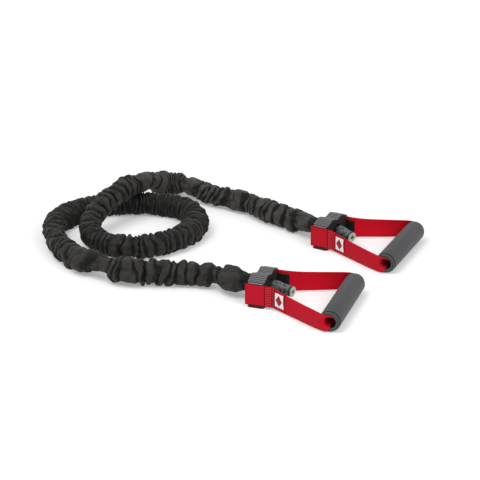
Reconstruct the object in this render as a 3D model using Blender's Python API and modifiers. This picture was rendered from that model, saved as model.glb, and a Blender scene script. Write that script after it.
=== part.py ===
"""A resistance tube with two strap handles, lying in a loop and a half on the floor.

A rubber tube runs in a gathered fabric sleeve. Each of its ends passes through a moulded hub and is
held behind it by a collar and a plug. A black sling goes round each hub, and a webbing strap sewn to
the sling runs through a foam grip that spins on it.

Metres, +Z up, the floor at zero. The origin is on the floor in the middle of the two ends' footprint.
+X points to the right and +Y to the back of the layout.
"""

import math

import bmesh
import bpy
from mathutils import Matrix, Vector

MM = 0.001

# The gap that is kept between pieces that touch on the real object.
GAP = 0.3 * MM

# Rubber tube
TUBE_RADIUS = 6.5 * MM
TUBE_BORE_RADIUS = 3.2 * MM
TUBE_HEIGHT = 24 * MM
TUBE_STEP = 23 * MM
TUBE_PLAY = 0.4 * MM

# Gathered sleeve
SLEEVE_RADIUS = 17.4 * MM
SLEEVE_BORE_RADIUS = 8.9 * MM
SLEEVE_NECK_RADIUS = 12.5 * MM
SLEEVE_NECK_LENGTH = 14 * MM
GATHER_DEPTH = 3.2 * MM
TIGHT_PITCH = 10 * MM
LOOSE_PITCH = 16 * MM
LOOSE_SWELL = 1 * MM
LOOSE_PARTS = ((0.0, 0.16), (0.79, 1.0))

# Cuff that binds the sleeve to the tube
CUFF_RADIUS = 13 * MM
CUFF_LENGTH = 6 * MM

# Webbing
STRAP_WIDTH = 32 * MM
STRAP_THICKNESS = 1.8 * MM
SLING_WIDTH = 30 * MM
SLING_THICKNESS = 1.4 * MM
SLING_CORNER = 3 * MM
SLING_TAIL = 5 * MM
SLING_TAIL_CUT = 4 * MM
SLING_CUT_RUN = 19 * MM
STRAP_HEM_X = -15.5 * MM
STRAP_FLARE_RADIUS = 8 * MM
STRAP_ROLLS = (math.radians(13), math.radians(-8))
STRAP_BORE_ROLL = math.radians(-15)
STRAP_FALL = 15 * MM
STRAP_SLACK_ANGLE = math.radians(7)
STRAP_PULL_HUB = 55 * MM
STRAP_PULL_GRIP = 26 * MM
STRAP_EDGE_FLARE = 0.3
STRAP_COLUMNS = 6
STRAP_SPAN_STEPS = 9
STRAP_RIM_STEPS = 5
LABEL_WIDTH = 17.5 * MM
LABEL_HEIGHT = 20.5 * MM
LABEL_THICKNESS = 0.7 * MM
LABEL_FROM_HEM = 48.5 * MM

# Eyelet in the sling's hole
EYELET_WALL = 1.3 * MM
EYELET_FLANGE_RADIUS = 12 * MM
EYELET_FLANGE = 1.4 * MM

# Moulded hub
HUB_LENGTH = 25 * MM
FLANGE_THICKNESS = 3.5 * MM
FLANGE_CORNER = 4 * MM
CORE_CORNER = 3 * MM
SHELL_WALL = 2.4 * MM
CRADLE_HALF_WIDTH = 11 * MM
MOUTH_RADIUS = 9.6 * MM
MOUTH_DEPTH = 10 * MM
COVER_LIP = 3 * MM
COVER_RISE = 5.4 * MM
COVER_PEAK_Y = 13.5 * MM
COVER_DIP = 3.2 * MM
COVER_STEP = 3.5 * MM
COVER_STEP_Y = (-6 * MM, 1 * MM)
RIB_PITCH = 3.35 * MM
RIB_HEIGHT = 0.8 * MM
RIB_CREST_SHARE = 0.62
SCREW_Y = 20 * MM
SCREW_RADIUS = 1.5 * MM
SCREW_HEAD_RADIUS = 2.9 * MM
SCREW_HEAD_LENGTH = 2.2 * MM
SCREW_RECESS = 0.8 * MM
SCREW_GRIP = 8 * MM
BOSS_RADIUS = 3.8 * MM

# Tail behind the hub
TAIL_START_X = 14 * MM
COLLAR_RADIUS = 8.9 * MM
COLLAR_NOSE_RADIUS = 8 * MM
COLLAR_BAND = 12 * MM
COLLAR_FROM_HUB = 2.6 * MM
COLLAR_FROM_END = 1.5 * MM
PLUG_RADIUS = 7.8 * MM
PLUG_FLANGE = 2.4 * MM
PLUG_STEM_LENGTH = 12 * MM
PLUG_HOLE_RADIUS = 1.5 * MM

# Grip
GRIP_LENGTH = 143 * MM
FOAM_RADIUS = 15.5 * MM
CORE_RADIUS = 11.8 * MM
CORE_WALL = 1.3 * MM
CAP_RADIUS = 14.3 * MM
CAP_LENGTH = 4 * MM
SPIGOT_WALL = 1.2 * MM
SPIGOT_LENGTH = 9 * MM
FOAM_EDGE = 0.8 * MM
ROUND_STEPS = 20

# The middle of the two ends' footprint, counted from the front hub as all the places below are. The
# part's own origin is there.
MIDDLE = (112.728 * MM, 68.775 * MM)

# Where the two ends lie: the hub's middle and the way that its tail points, then the grip's middle
# and the way that the grip points. In the hub's own frame: where the strap bends away from the hub,
# its turn there on the near and on the far side, and the cut end of the tube from the hub's middle.
FRONT = {
    "hub": (0.0, 0.0),
    "hub_turn": math.radians(-20),
    "grip": (111.9 * MM, -44.1 * MM),
    "grip_turn": math.radians(72.8),
    "strap_bend": 24 * MM,
    "strap_flares": (math.radians(33), math.radians(29)),
    "tail_end": (45.3 * MM, -6.6 * MM, -2.4 * MM),
}
BACK = {
    "hub": (106 * MM, 221 * MM),
    "hub_turn": math.radians(-32),
    "grip": (210 * MM, 166.9 * MM),
    "grip_turn": math.radians(67.4),
    "strap_bend": 19.5 * MM,
    "strap_flares": (math.radians(24), math.radians(35)),
    "tail_end": (41.3 * MM, -8.4 * MM, -3 * MM),
}

# The sleeve's middle line between the two hubs, as x, y, z in millimetres, chosen by hand. It runs
# from the front hub to the left, turns round the outer and the inner loop, climbs over itself at the
# back left and comes down to the back hub.
ROUTE = (
    (-37.4, 14.4, 23.5),
    (-45.5, 21.5, 21.9),
    (-60.5, 35.5, 19.6),
    (-85, 49, 18.6),
    (-117, 54, 18.6),
    (-150, 54, 18.6),
    (-185, 55, 18.6),
    (-218, 61, 18.6),
    (-251, 88, 18.4),
    (-281.5, 121, 17.9),
    (-306, 165, 17.8),
    (-321.5, 217, 17.8),
    (-322.5, 265, 17.8),
    (-306, 309, 17.8),
    (-277, 337, 17.8),
    (-240, 347, 17.8),
    (-201, 347, 17.8),
    (-163, 346, 17.8),
    (-130, 333, 17.8),
    (-107, 305, 17.8),
    (-99.5, 268, 17.8),
    (-105.5, 227, 17.8),
    (-127.5, 191, 17.8),
    (-160, 167, 17.8),
    (-194, 155.5, 17.8),
    (-228, 162, 17.8),
    (-254.5, 187, 19),
    (-267, 221, 23),
    (-262, 254, 32),
    (-244, 281, 44.5),
    (-219.6, 312, 54.6),
    (-199.5, 339, 56),
    (-186.5, 375, 47.5),
    (-177.5, 405, 34.2),
    (-169.5, 424, 26),
    (-160.6, 435.5, 21.4),
    (-146.6, 440.5, 19.6),
    (-131.3, 438.5, 18.8),
    (-118, 429.5, 18.6),
    (-104, 414.5, 18.6),
    (-90, 398, 18.6),
    (-75, 383.5, 18.6),
    (-52, 369.5, 18.6),
    (-23, 354.5, 18.6),
    (3, 321, 18.6),
    (25, 299, 18.6),
    (42, 283.5, 19),
    (56, 267, 20.6),
    (66.8, 252.7, 22.2),
    (73.8, 243.2, 23.5),
)

PART_COLLECTION = "resistance_tube"
CUTTER_COLLECTION = "cutters"

# Sizes that follow from those above
CORE_BORE_RADIUS = CORE_RADIUS - CORE_WALL
SPIGOT_RADIUS = CORE_BORE_RADIUS - GAP
GRIP_BORE_RADIUS = SPIGOT_RADIUS - SPIGOT_WALL
FOAM_BORE_RADIUS = CORE_RADIUS + GAP
RIM_RADIUS = (CAP_RADIUS - GRIP_BORE_RADIUS) / 2
RIM_MIDDLE = (CAP_RADIUS + GRIP_BORE_RADIUS) / 2
RIM_AXIAL = GRIP_LENGTH / 2 + GAP + CAP_LENGTH - RIM_RADIUS
STRAP_WRAP = RIM_RADIUS + GAP + STRAP_THICKNESS / 2
STRAP_LOW = FLANGE_THICKNESS + GAP
STRAP_MIDDLE = STRAP_LOW + STRAP_WIDTH / 2
COVER_LOW = STRAP_LOW + STRAP_WIDTH + GAP
CORE_HALF_WIDTH = 29.7 * MM
SLING_Y = CORE_HALF_WIDTH + GAP + SLING_THICKNESS / 2
STRAP_Y = SLING_Y + SLING_THICKNESS / 2 + GAP + STRAP_THICKNESS / 2
FLANGE_HALF_WIDTH = STRAP_Y + STRAP_THICKNESS / 2
SLING_X = -HUB_LENGTH / 2 - GAP - SLING_THICKNESS / 2
EYELET_HOLE_RADIUS = TUBE_RADIUS + TUBE_PLAY
EYELET_RADIUS = EYELET_HOLE_RADIUS + EYELET_WALL
EYELET_FACE_X = SLING_X - SLING_THICKNESS / 2 - GAP
CUFF_X = EYELET_FACE_X - EYELET_FLANGE - GAP
SLEEVE_X = CUFF_X - CUFF_LENGTH - GAP


def material(name, colour, roughness, metallic=0.0):
    """A plain finish of one colour."""
    made = bpy.data.materials.new(name)
    made.use_nodes = True
    shader = made.node_tree.nodes["Principled BSDF"]
    shader.inputs["Base Color"].default_value = (*colour, 1.0)
    shader.inputs["Roughness"].default_value = roughness
    shader.inputs["Metallic"].default_value = metallic
    return made


def clear_scene():
    """Removes what the file held and makes the two collections."""
    for obj in list(bpy.data.objects):
        bpy.data.objects.remove(obj, do_unlink=True)
    for name in (PART_COLLECTION, CUTTER_COLLECTION):
        bpy.context.scene.collection.children.link(bpy.data.collections.new(name))


def add(name, mesh, finish=None, place=None):
    """An object in the part's collection, or a cutter where no finish is given."""
    obj = bpy.data.objects.new(name, mesh)
    if place is not None:
        obj.matrix_world = place
    if finish is None:
        bpy.data.collections[CUTTER_COLLECTION].objects.link(obj)
        obj.hide_render = True
        obj.display_type = "WIRE"
    else:
        bpy.data.collections[PART_COLLECTION].objects.link(obj)
        mesh.materials.append(finish)
    return obj


def mesh_from(bm, name):
    bmesh.ops.recalc_face_normals(bm, faces=bm.faces)
    mesh = bpy.data.meshes.new(name)
    bm.to_mesh(mesh)
    bm.free()
    return mesh


def box(name, low, high):
    """A plain box mesh between two corners."""
    bm = bmesh.new()
    bmesh.ops.create_cube(bm, size=1)
    size = Vector(high) - Vector(low)
    middle = (Vector(high) + Vector(low)) / 2
    for vert in bm.verts:
        vert.co = Vector(a * b + c for a, b, c in zip(vert.co, size, middle))
    return mesh_from(bm, name)


def cone(name, low_radius, high_radius, low, high, axis="Z", at=(0, 0, 0)):
    """A cylinder or cone mesh between two places along an axis through a point."""
    bm = bmesh.new()
    bmesh.ops.create_cone(
        bm, cap_ends=True, segments=ROUND_STEPS, radius1=low_radius, radius2=high_radius, depth=high - low
    )
    bmesh.ops.translate(bm, verts=bm.verts, vec=(0, 0, (low + high) / 2))
    if axis == "X":
        bmesh.ops.rotate(bm, verts=bm.verts, matrix=Matrix.Rotation(math.pi / 2, 3, "Y"))
    bmesh.ops.translate(bm, verts=bm.verts, vec=at)
    return mesh_from(bm, name)


def outline_prism(name, outline, low, high):
    """A flat outline of (x, y) points, extruded from one height to another."""
    bm = bmesh.new()
    face = bm.faces.new([bm.verts.new((x, y, low)) for x, y in outline])
    grown = bmesh.ops.extrude_face_region(bm, geom=[face])
    moved = [item for item in grown["geom"] if isinstance(item, bmesh.types.BMVert)]
    bmesh.ops.translate(bm, verts=moved, vec=(0, 0, high - low))
    return mesh_from(bm, name)


def rounded_rectangle(half_x, half_y, radius, steps=4):
    points = []
    for quarter, (sx, sy) in enumerate(((1, 1), (-1, 1), (-1, -1), (1, -1))):
        for step in range(steps + 1):
            angle = (quarter + step / steps) * math.pi / 2
            x = sx * (half_x - radius) + radius * math.cos(angle)
            y = sy * (half_y - radius) + radius * math.sin(angle)
            points.append((x, y))
    return points


def stepped(outline):
    """The flange's outline with its left edge stepped back on the far half, as the cover's is."""
    points = []
    for k, (x, y) in enumerate(outline):
        if x < 0 and y > 0:
            points.append((x + COVER_STEP, y))
            if outline[k + 1][1] < 0:
                low, high = COVER_STEP_Y
                points.append((x + COVER_STEP, high))
                points.append((x, low))
        else:
            points.append((x, y))
    return points


def turned(name, profile, finish, place, steps=ROUND_STEPS):
    """A ring turned about its own Z axis from a closed profile of (radius, height) points.

    The profile runs down its outer side and comes back up inside.
    """
    mesh = bpy.data.meshes.new(name)
    count = len(profile)
    edges = [(k, (k + 1) % count) for k in range(count)]
    mesh.from_pydata([(radius, 0, height) for radius, height in profile], edges, [])
    obj = add(name, mesh, finish, place)
    screw = obj.modifiers.new("turn", "SCREW")
    screw.axis = "Z"
    screw.steps = steps
    screw.render_steps = steps
    screw.use_merge_vertices = True
    screw.merge_threshold = 0.00001
    return obj


def cut(obj, cutter, label, operation="DIFFERENCE"):
    boolean = obj.modifiers.new(label, "BOOLEAN")
    boolean.operation = operation
    boolean.solver = "EXACT"
    boolean.object = cutter
    return boolean


def smooth_line(points, per_span=14):
    """A dense curve guided by the points, which starts and ends on the first and the last."""
    guides = [points[0] * 2 - points[1], *points, points[-1] * 2 - points[-2]]
    line = []
    for a, b, c, d in zip(guides, guides[1:], guides[2:], guides[3:]):
        for step in range(per_span):
            t = step / per_span
            share_b = 3 * t**3 - 6 * t**2 + 4
            share_c = -3 * t**3 + 3 * t**2 + 3 * t + 1
            line.append((a * (1 - t) ** 3 + b * share_b + c * share_c + d * t**3) / 6)
    return [*line, points[-1].copy()]


class Line:
    """A dense polyline that gives its point at any distance along it."""

    def __init__(self, points):
        self.points = points
        self.along = [0.0]
        for start, end in zip(points, points[1:]):
            self.along.append(self.along[-1] + (end - start).length)
        self.length = self.along[-1]

    def at(self, distance):
        low, high = 0, len(self.along) - 1
        while high - low > 1:
            middle = (low + high) // 2
            if self.along[middle] > distance:
                high = middle
            else:
                low = middle
        span = self.along[high] - self.along[low]
        return self.points[low].lerp(self.points[high], (distance - self.along[low]) / span)


def tube_mesh(name, points, radii):
    """The closed mesh of a bevelled curve through the points, with a radius at each."""
    curve = bpy.data.curves.new(name, "CURVE")
    curve.dimensions = "3D"
    curve.bevel_depth = 1.0
    curve.bevel_resolution = 2
    curve.use_fill_caps = True
    spline = curve.splines.new("POLY")
    spline.points.add(len(points) - 1)
    for place, point, radius in zip(spline.points, points, radii):
        place.co = (*point, 1.0)
        place.radius = radius
    guide = bpy.data.objects.new(name, curve)
    bpy.context.scene.collection.objects.link(guide)
    bpy.context.view_layer.update()
    graph = bpy.context.evaluated_depsgraph_get()
    mesh = bpy.data.meshes.new_from_object(guide.evaluated_get(graph))
    bpy.data.objects.remove(guide, do_unlink=True)
    bm = bmesh.new()
    bm.from_mesh(mesh)
    bmesh.ops.remove_doubles(bm, verts=bm.verts, dist=0.00001)
    bpy.data.meshes.remove(mesh)
    return mesh_from(bm, name)


def end_matrix(place, turn, height=0.0):
    at = (place[0] - MIDDLE[0], place[1] - MIDDLE[1], height)
    return Matrix.Translation(at) @ Matrix.Rotation(turn, 4, "Z")


def tail_points(hub, tail_end):
    """The tail's straight part behind a hub: where it starts and where its cut end is."""
    start = hub @ Vector((TAIL_START_X, 0, TUBE_HEIGHT))
    end = hub @ Vector((tail_end[0], tail_end[1], TUBE_HEIGHT + tail_end[2]))
    return start, end


def tail_matrix(start, end):
    """Its Z axis runs along the tail from where the tail starts."""
    turn = (end - start).to_track_quat("Z", "X")
    return Matrix.Translation(start) @ turn.to_matrix().to_4x4()


def sleeve_line(front, back):
    """The sleeve's middle line, from the front cuff to the back one."""
    necks = [
        [hub @ Vector((SLEEVE_X - k * TIGHT_PITCH / 2, 0, TUBE_HEIGHT)) for k in range(3)]
        for hub in (front, back)
    ]
    route = [Vector(point) * MM - Vector((*MIDDLE, 0)) for point in ROUTE]
    points = necks[0] + route + necks[1][::-1]
    return Line(smooth_line(points))


def sampled(line):
    """Points along the line for the tube and for the sleeve's bore, which so keep their distance."""
    count = round(line.length / TUBE_STEP)
    return [line.at(line.length * k / count) for k in range(count + 1)]


def tube_points(front, back, line):
    """The rubber tube's points from the front tail, through hub, sleeve and hub, to the back tail."""

    def end_part(hub, tail_end):
        start, end = tail_points(hub, tail_end)
        inside = [hub @ Vector((x * HUB_LENGTH, 0, TUBE_HEIGHT)) for x in (0.28, 0.0, -0.5)]
        return [end, start.lerp(end, 0.5), start, *inside]

    return end_part(front, FRONT["tail_end"]) + sampled(line) + end_part(back, BACK["tail_end"])[::-1]


def make_tube(front, back, line, finish):
    points = tube_points(front, back, line)
    tube = add("rubber_tube", tube_mesh("rubber_tube", points, [TUBE_RADIUS] * len(points)), finish)
    reach = PLUG_FLANGE
    ends = [points[0] * 1, points[-1] * 1]
    ends[0] += (points[0] - points[1]).normalized() * reach
    ends[1] += (points[-1] - points[-2]).normalized() * reach
    inner = [ends[0], *points[1:-1], ends[1]]
    bore = add("tube_bore", tube_mesh("tube_bore", inner, [TUBE_BORE_RADIUS] * len(inner)))
    cut(tube, bore, "bore")


def gathers(length):
    """Distance, radius of each point of the sleeve: two to a gather, a crest and a crease."""
    points = [(0.0, SLEEVE_NECK_RADIUS)]
    distance = TIGHT_PITCH / 2
    count = 0
    while distance < length - TIGHT_PITCH / 2:
        share = distance / length
        loose = any(low <= share <= high for low, high in LOOSE_PARTS)
        pitch = LOOSE_PITCH if loose else TIGHT_PITCH
        pitch *= 1 + 0.22 * math.sin(count * 2.4) + 0.12 * math.sin(count * 5.1)
        neck = min(distance, length - distance) / SLEEVE_NECK_LENGTH
        ease = min(neck, 1.0) ** 0.5
        crest = SLEEVE_RADIUS + (LOOSE_SWELL if loose else 0) * math.sin(count * 1.7)
        crest = SLEEVE_NECK_RADIUS + (crest - SLEEVE_NECK_RADIUS) * ease
        depth = GATHER_DEPTH * (0.8 + 0.2 * math.sin(count * 3.3)) * ease
        points.append((distance, crest))
        points.append((distance + pitch / 2, crest - depth))
        distance += pitch
        count += 1
    points = [point for point in points if point[0] < length - TIGHT_PITCH * 0.75]
    return [*points, (length - TIGHT_PITCH / 2, points[1][1]), (length, SLEEVE_NECK_RADIUS)]


def make_sleeve(line, finish):
    """The gathered sleeve, and the least gap that it keeps to itself."""
    rings = gathers(line.length)
    points = [line.at(distance) for distance, radius in rings]
    radii = [radius for distance, radius in rings]
    sleeve = add("fabric_sleeve", tube_mesh("fabric_sleeve", points, radii), finish)
    inner = sampled(line)
    past = inner[0] - line.at(TIGHT_PITCH / 2)
    inner.insert(0, inner[0] + past)
    past = inner[-1] - line.at(line.length - TIGHT_PITCH / 2)
    inner.append(inner[-1] + past)
    bore = add("sleeve_bore", tube_mesh("sleeve_bore", inner, [SLEEVE_BORE_RADIUS] * len(inner)))
    cut(sleeve, bore, "bore")
    apart = 4 * SLEEVE_RADIUS
    least = min(
        (points[a] - points[b]).length - radii[a] - radii[b]
        for a in range(len(points))
        for b in range(a)
        if abs(rings[a][0] - rings[b][0]) > apart
    )
    print(f"sleeve: {len(rings)} rings, {line.length:.3f} m, least gap to itself {least / MM:.2f} mm")


def make_cuffs(ends, finish):
    for prefix, hub in ends:
        turn = Matrix.Rotation(math.pi / 2, 4, "Y")
        place = hub @ Matrix.Translation((CUFF_X, 0, TUBE_HEIGHT)) @ turn
        bore = TUBE_RADIUS + TUBE_PLAY
        edge = 1.5 * MM
        profile = [
            (CUFF_RADIUS - edge, 0),
            (CUFF_RADIUS, -edge),
            (CUFF_RADIUS, edge - CUFF_LENGTH),
            (CUFF_RADIUS - edge, -CUFF_LENGTH),
            (bore, -CUFF_LENGTH),
            (bore, 0),
        ]
        turned(f"{prefix}_sleeve_cuff", profile, finish, place)


def cover_profile():
    """The cover's top from side to side: two humps with ribs along the tube's direction."""
    top = COVER_LOW + COVER_LIP
    edge = 2.2 * MM
    half = FLANGE_HALF_WIDTH - edge
    count = round(2 * half / RIB_PITCH)
    pitch = 2 * half / count

    def hump(y):
        share = min(abs(y) / COVER_PEAK_Y, 1.0)
        outside = max(0.0, abs(y) - COVER_PEAK_Y) / (half - COVER_PEAK_Y)
        rise = COVER_RISE * (1 + math.cos(math.pi * outside)) / 2
        dip = COVER_DIP * (1 + math.cos(math.pi * share)) / 2
        return top + rise - dip

    points = [(-FLANGE_HALF_WIDTH, COVER_LOW), (-FLANGE_HALF_WIDTH, top - edge)]
    for rib in range(count):
        middle = -half + (rib + 0.5) * pitch
        crest = pitch * RIB_CREST_SHARE / 2
        points.append((middle - pitch / 2, hump(middle - pitch / 2) - RIB_HEIGHT))
        points.append((middle - crest, hump(middle - crest)))
        points.append((middle + crest, hump(middle + crest)))
    points.append((half, top - RIB_HEIGHT))
    return [*points, (FLANGE_HALF_WIDTH, top - edge), (FLANGE_HALF_WIDTH, COVER_LOW)]


def cover_top_mesh(name):
    """The ribbed top, extruded along the tube's direction."""
    bm = bmesh.new()
    half = HUB_LENGTH / 2
    face = bm.faces.new([bm.verts.new((-half, y, z)) for y, z in cover_profile()])
    grown = bmesh.ops.extrude_face_region(bm, geom=[face])
    moved = [item for item in grown["geom"] if isinstance(item, bmesh.types.BMVert)]
    bmesh.ops.translate(bm, verts=moved, vec=(HUB_LENGTH, 0, 0))
    return mesh_from(bm, name)


def hub_cutters(prefix, hub):
    """What is cut from both shells of a hub: the tube's way, its flared mouth and the outline."""
    way = cone(f"{prefix}_way", EYELET_HOLE_RADIUS, EYELET_HOLE_RADIUS, -HUB_LENGTH, HUB_LENGTH, "X",
               (0, 0, TUBE_HEIGHT))
    half = HUB_LENGTH / 2
    mouth = cone(f"{prefix}_mouth", EYELET_HOLE_RADIUS - TUBE_PLAY, MOUTH_RADIUS + 1 * MM, half - MOUTH_DEPTH,
                 half + 1 * MM, "X", (0, 0, TUBE_HEIGHT))
    return add(f"{prefix}_tube_way", way, place=hub), add(f"{prefix}_tube_mouth", mouth, place=hub)


def pocket(prefix, side, label, low, high, hub):
    """A hollow beside the tube's cradle, with the screw's boss left standing in it."""
    inner, outer = CRADLE_HALF_WIDTH, CORE_HALF_WIDTH - SHELL_WALL
    ends = sorted((side * inner, side * outer))
    half = HUB_LENGTH / 2 - SHELL_WALL
    name = f"{prefix}_{label}_pocket"
    hollow = add(name, box(name, (-half, ends[0], low), (half, ends[1], high)), place=hub)
    boss = cone(f"{name}_boss", BOSS_RADIUS, BOSS_RADIUS, low - GAP, high + GAP, at=(0, side * SCREW_Y, 0))
    cut(hollow, add(f"{name}_boss", boss, place=hub), "boss")
    return hollow


def make_hub(prefix, hub, finish, screw_finish):
    """The two shells and the screws that close them."""
    flange = rounded_rectangle(HUB_LENGTH / 2, FLANGE_HALF_WIDTH, FLANGE_CORNER)
    core_low, split = FLANGE_THICKNESS, TUBE_HEIGHT
    half = HUB_LENGTH / 2
    way, mouth = hub_cutters(prefix, hub)

    base = add(f"{prefix}_hub_base", outline_prism("hub_base", flange, 0, FLANGE_THICKNESS), finish, hub)
    core_outline = rounded_rectangle(half, CORE_HALF_WIDTH, CORE_CORNER)
    core = outline_prism("base_core", core_outline, core_low / 2, split - GAP / 2)
    cut(base, add(f"{prefix}_base_core", core, place=hub), "core", "UNION")

    cover = add(f"{prefix}_hub_cover", cover_top_mesh("hub_cover"), finish, hub)
    above = outline_prism("cover_outline", stepped(flange), COVER_LOW / 2, 2 * COVER_LOW)
    cut(cover, add(f"{prefix}_cover_outline", above, place=hub), "outline", "INTERSECT")
    core = outline_prism("cover_core", core_outline, split + GAP / 2, COVER_LOW + COVER_LIP / 2)
    cut(cover, add(f"{prefix}_cover_core", core, place=hub), "core", "UNION")

    ceiling = COVER_LOW + COVER_LIP - SHELL_WALL
    for side, place in ((-1, "near"), (1, "far")):
        low = pocket(prefix, side, f"{place}_base", core_low, split, hub)
        high = pocket(prefix, side, f"{place}_cover", split, ceiling, hub)
        cut(base, low, f"{place} pocket")
        cut(cover, high, f"{place} pocket")
        screw_hole = SCREW_RADIUS + GAP
        top = split + SCREW_GRIP + GAP
        hole = cone("screw_hole", screw_hole, screw_hole, -1 * MM, top, at=(0, side * SCREW_Y, 0))
        hole = add(f"{prefix}_{place}_screw_hole", hole, place=hub)
        recess = SCREW_HEAD_RADIUS + GAP
        sink = SCREW_RECESS + SCREW_HEAD_LENGTH + GAP
        sunk = cone("screw_recess", recess, recess, -1 * MM, sink, at=(0, side * SCREW_Y, 0))
        sunk = add(f"{prefix}_{place}_screw_recess", sunk, place=hub)
        cut(base, hole, f"{place} hole")
        cut(base, sunk, f"{place} recess")
        cut(cover, hole, f"{place} hole")
        head_top = SCREW_RECESS + SCREW_HEAD_LENGTH
        profile = [
            (0, split + SCREW_GRIP),
            (SCREW_RADIUS, split + SCREW_GRIP - SCREW_RADIUS),
            (SCREW_RADIUS, head_top),
            (SCREW_HEAD_RADIUS, head_top),
            (SCREW_HEAD_RADIUS, SCREW_RECESS + 0.6 * MM),
            (SCREW_HEAD_RADIUS - 0.6 * MM, SCREW_RECESS),
            (0, SCREW_RECESS),
        ]
        place_at = hub @ Matrix.Translation((0, side * SCREW_Y, 0))
        screw_at = turned(f"{prefix}_{place}_hub_screw", profile, screw_finish, place_at, steps=12)
        screw_at.data.edges[-1].select = False
    for shell in (base, cover):
        cut(shell, way, "tube way")
        cut(shell, mouth, "tube mouth")


def make_tail(prefix, hub, tail_end, collar_finish, plug_finish):
    """The collar that stops the tube behind the hub, and the plug in its cut end."""
    start, end = tail_points(hub, tail_end)
    place = tail_matrix(start, end)
    length = (end - start).length
    bore = TUBE_RADIUS + TUBE_PLAY
    low = COLLAR_FROM_HUB - (TAIL_START_X - HUB_LENGTH / 2) + 1 * MM
    high = length - COLLAR_FROM_END
    edge = 0.9 * MM
    profile = [
        (COLLAR_NOSE_RADIUS - edge / 2, high),
        (COLLAR_NOSE_RADIUS, high - edge),
        (COLLAR_NOSE_RADIUS, low + COLLAR_BAND),
        (COLLAR_RADIUS, low + COLLAR_BAND - edge),
        (COLLAR_RADIUS, low + edge),
        (COLLAR_RADIUS - edge, low),
        (bore, low),
        (bore, high),
    ]
    turned(f"{prefix}_tube_collar", profile, collar_finish, place, steps=20)
    face = length + GAP
    stem = TUBE_BORE_RADIUS - GAP
    profile = [
        (PLUG_RADIUS - 0.7 * MM, face + PLUG_FLANGE),
        (PLUG_RADIUS, face + PLUG_FLANGE - 0.7 * MM),
        (PLUG_RADIUS, face),
        (stem, face),
        (stem, face - PLUG_STEM_LENGTH),
        (PLUG_HOLE_RADIUS, face - PLUG_STEM_LENGTH),
        (PLUG_HOLE_RADIUS, face + PLUG_FLANGE),
    ]
    turned(f"{prefix}_tube_plug", profile, plug_finish, place, steps=20)


def make_eyelet(prefix, hub, finish):
    turn = Matrix.Rotation(math.pi / 2, 4, "Y")
    place = hub @ Matrix.Translation((EYELET_FACE_X, 0, TUBE_HEIGHT)) @ turn
    depth = SLING_THICKNESS + GAP
    profile = [
        (EYELET_RADIUS, depth),
        (EYELET_RADIUS, 0),
        (EYELET_FLANGE_RADIUS, 0),
        (EYELET_FLANGE_RADIUS, -EYELET_FLANGE * 0.6),
        (EYELET_FLANGE_RADIUS - 0.6 * MM, -EYELET_FLANGE),
        (EYELET_HOLE_RADIUS, -EYELET_FLANGE),
        (EYELET_HOLE_RADIUS, depth),
    ]
    turned(f"{prefix}_sling_eyelet", profile, finish, place)


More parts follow.
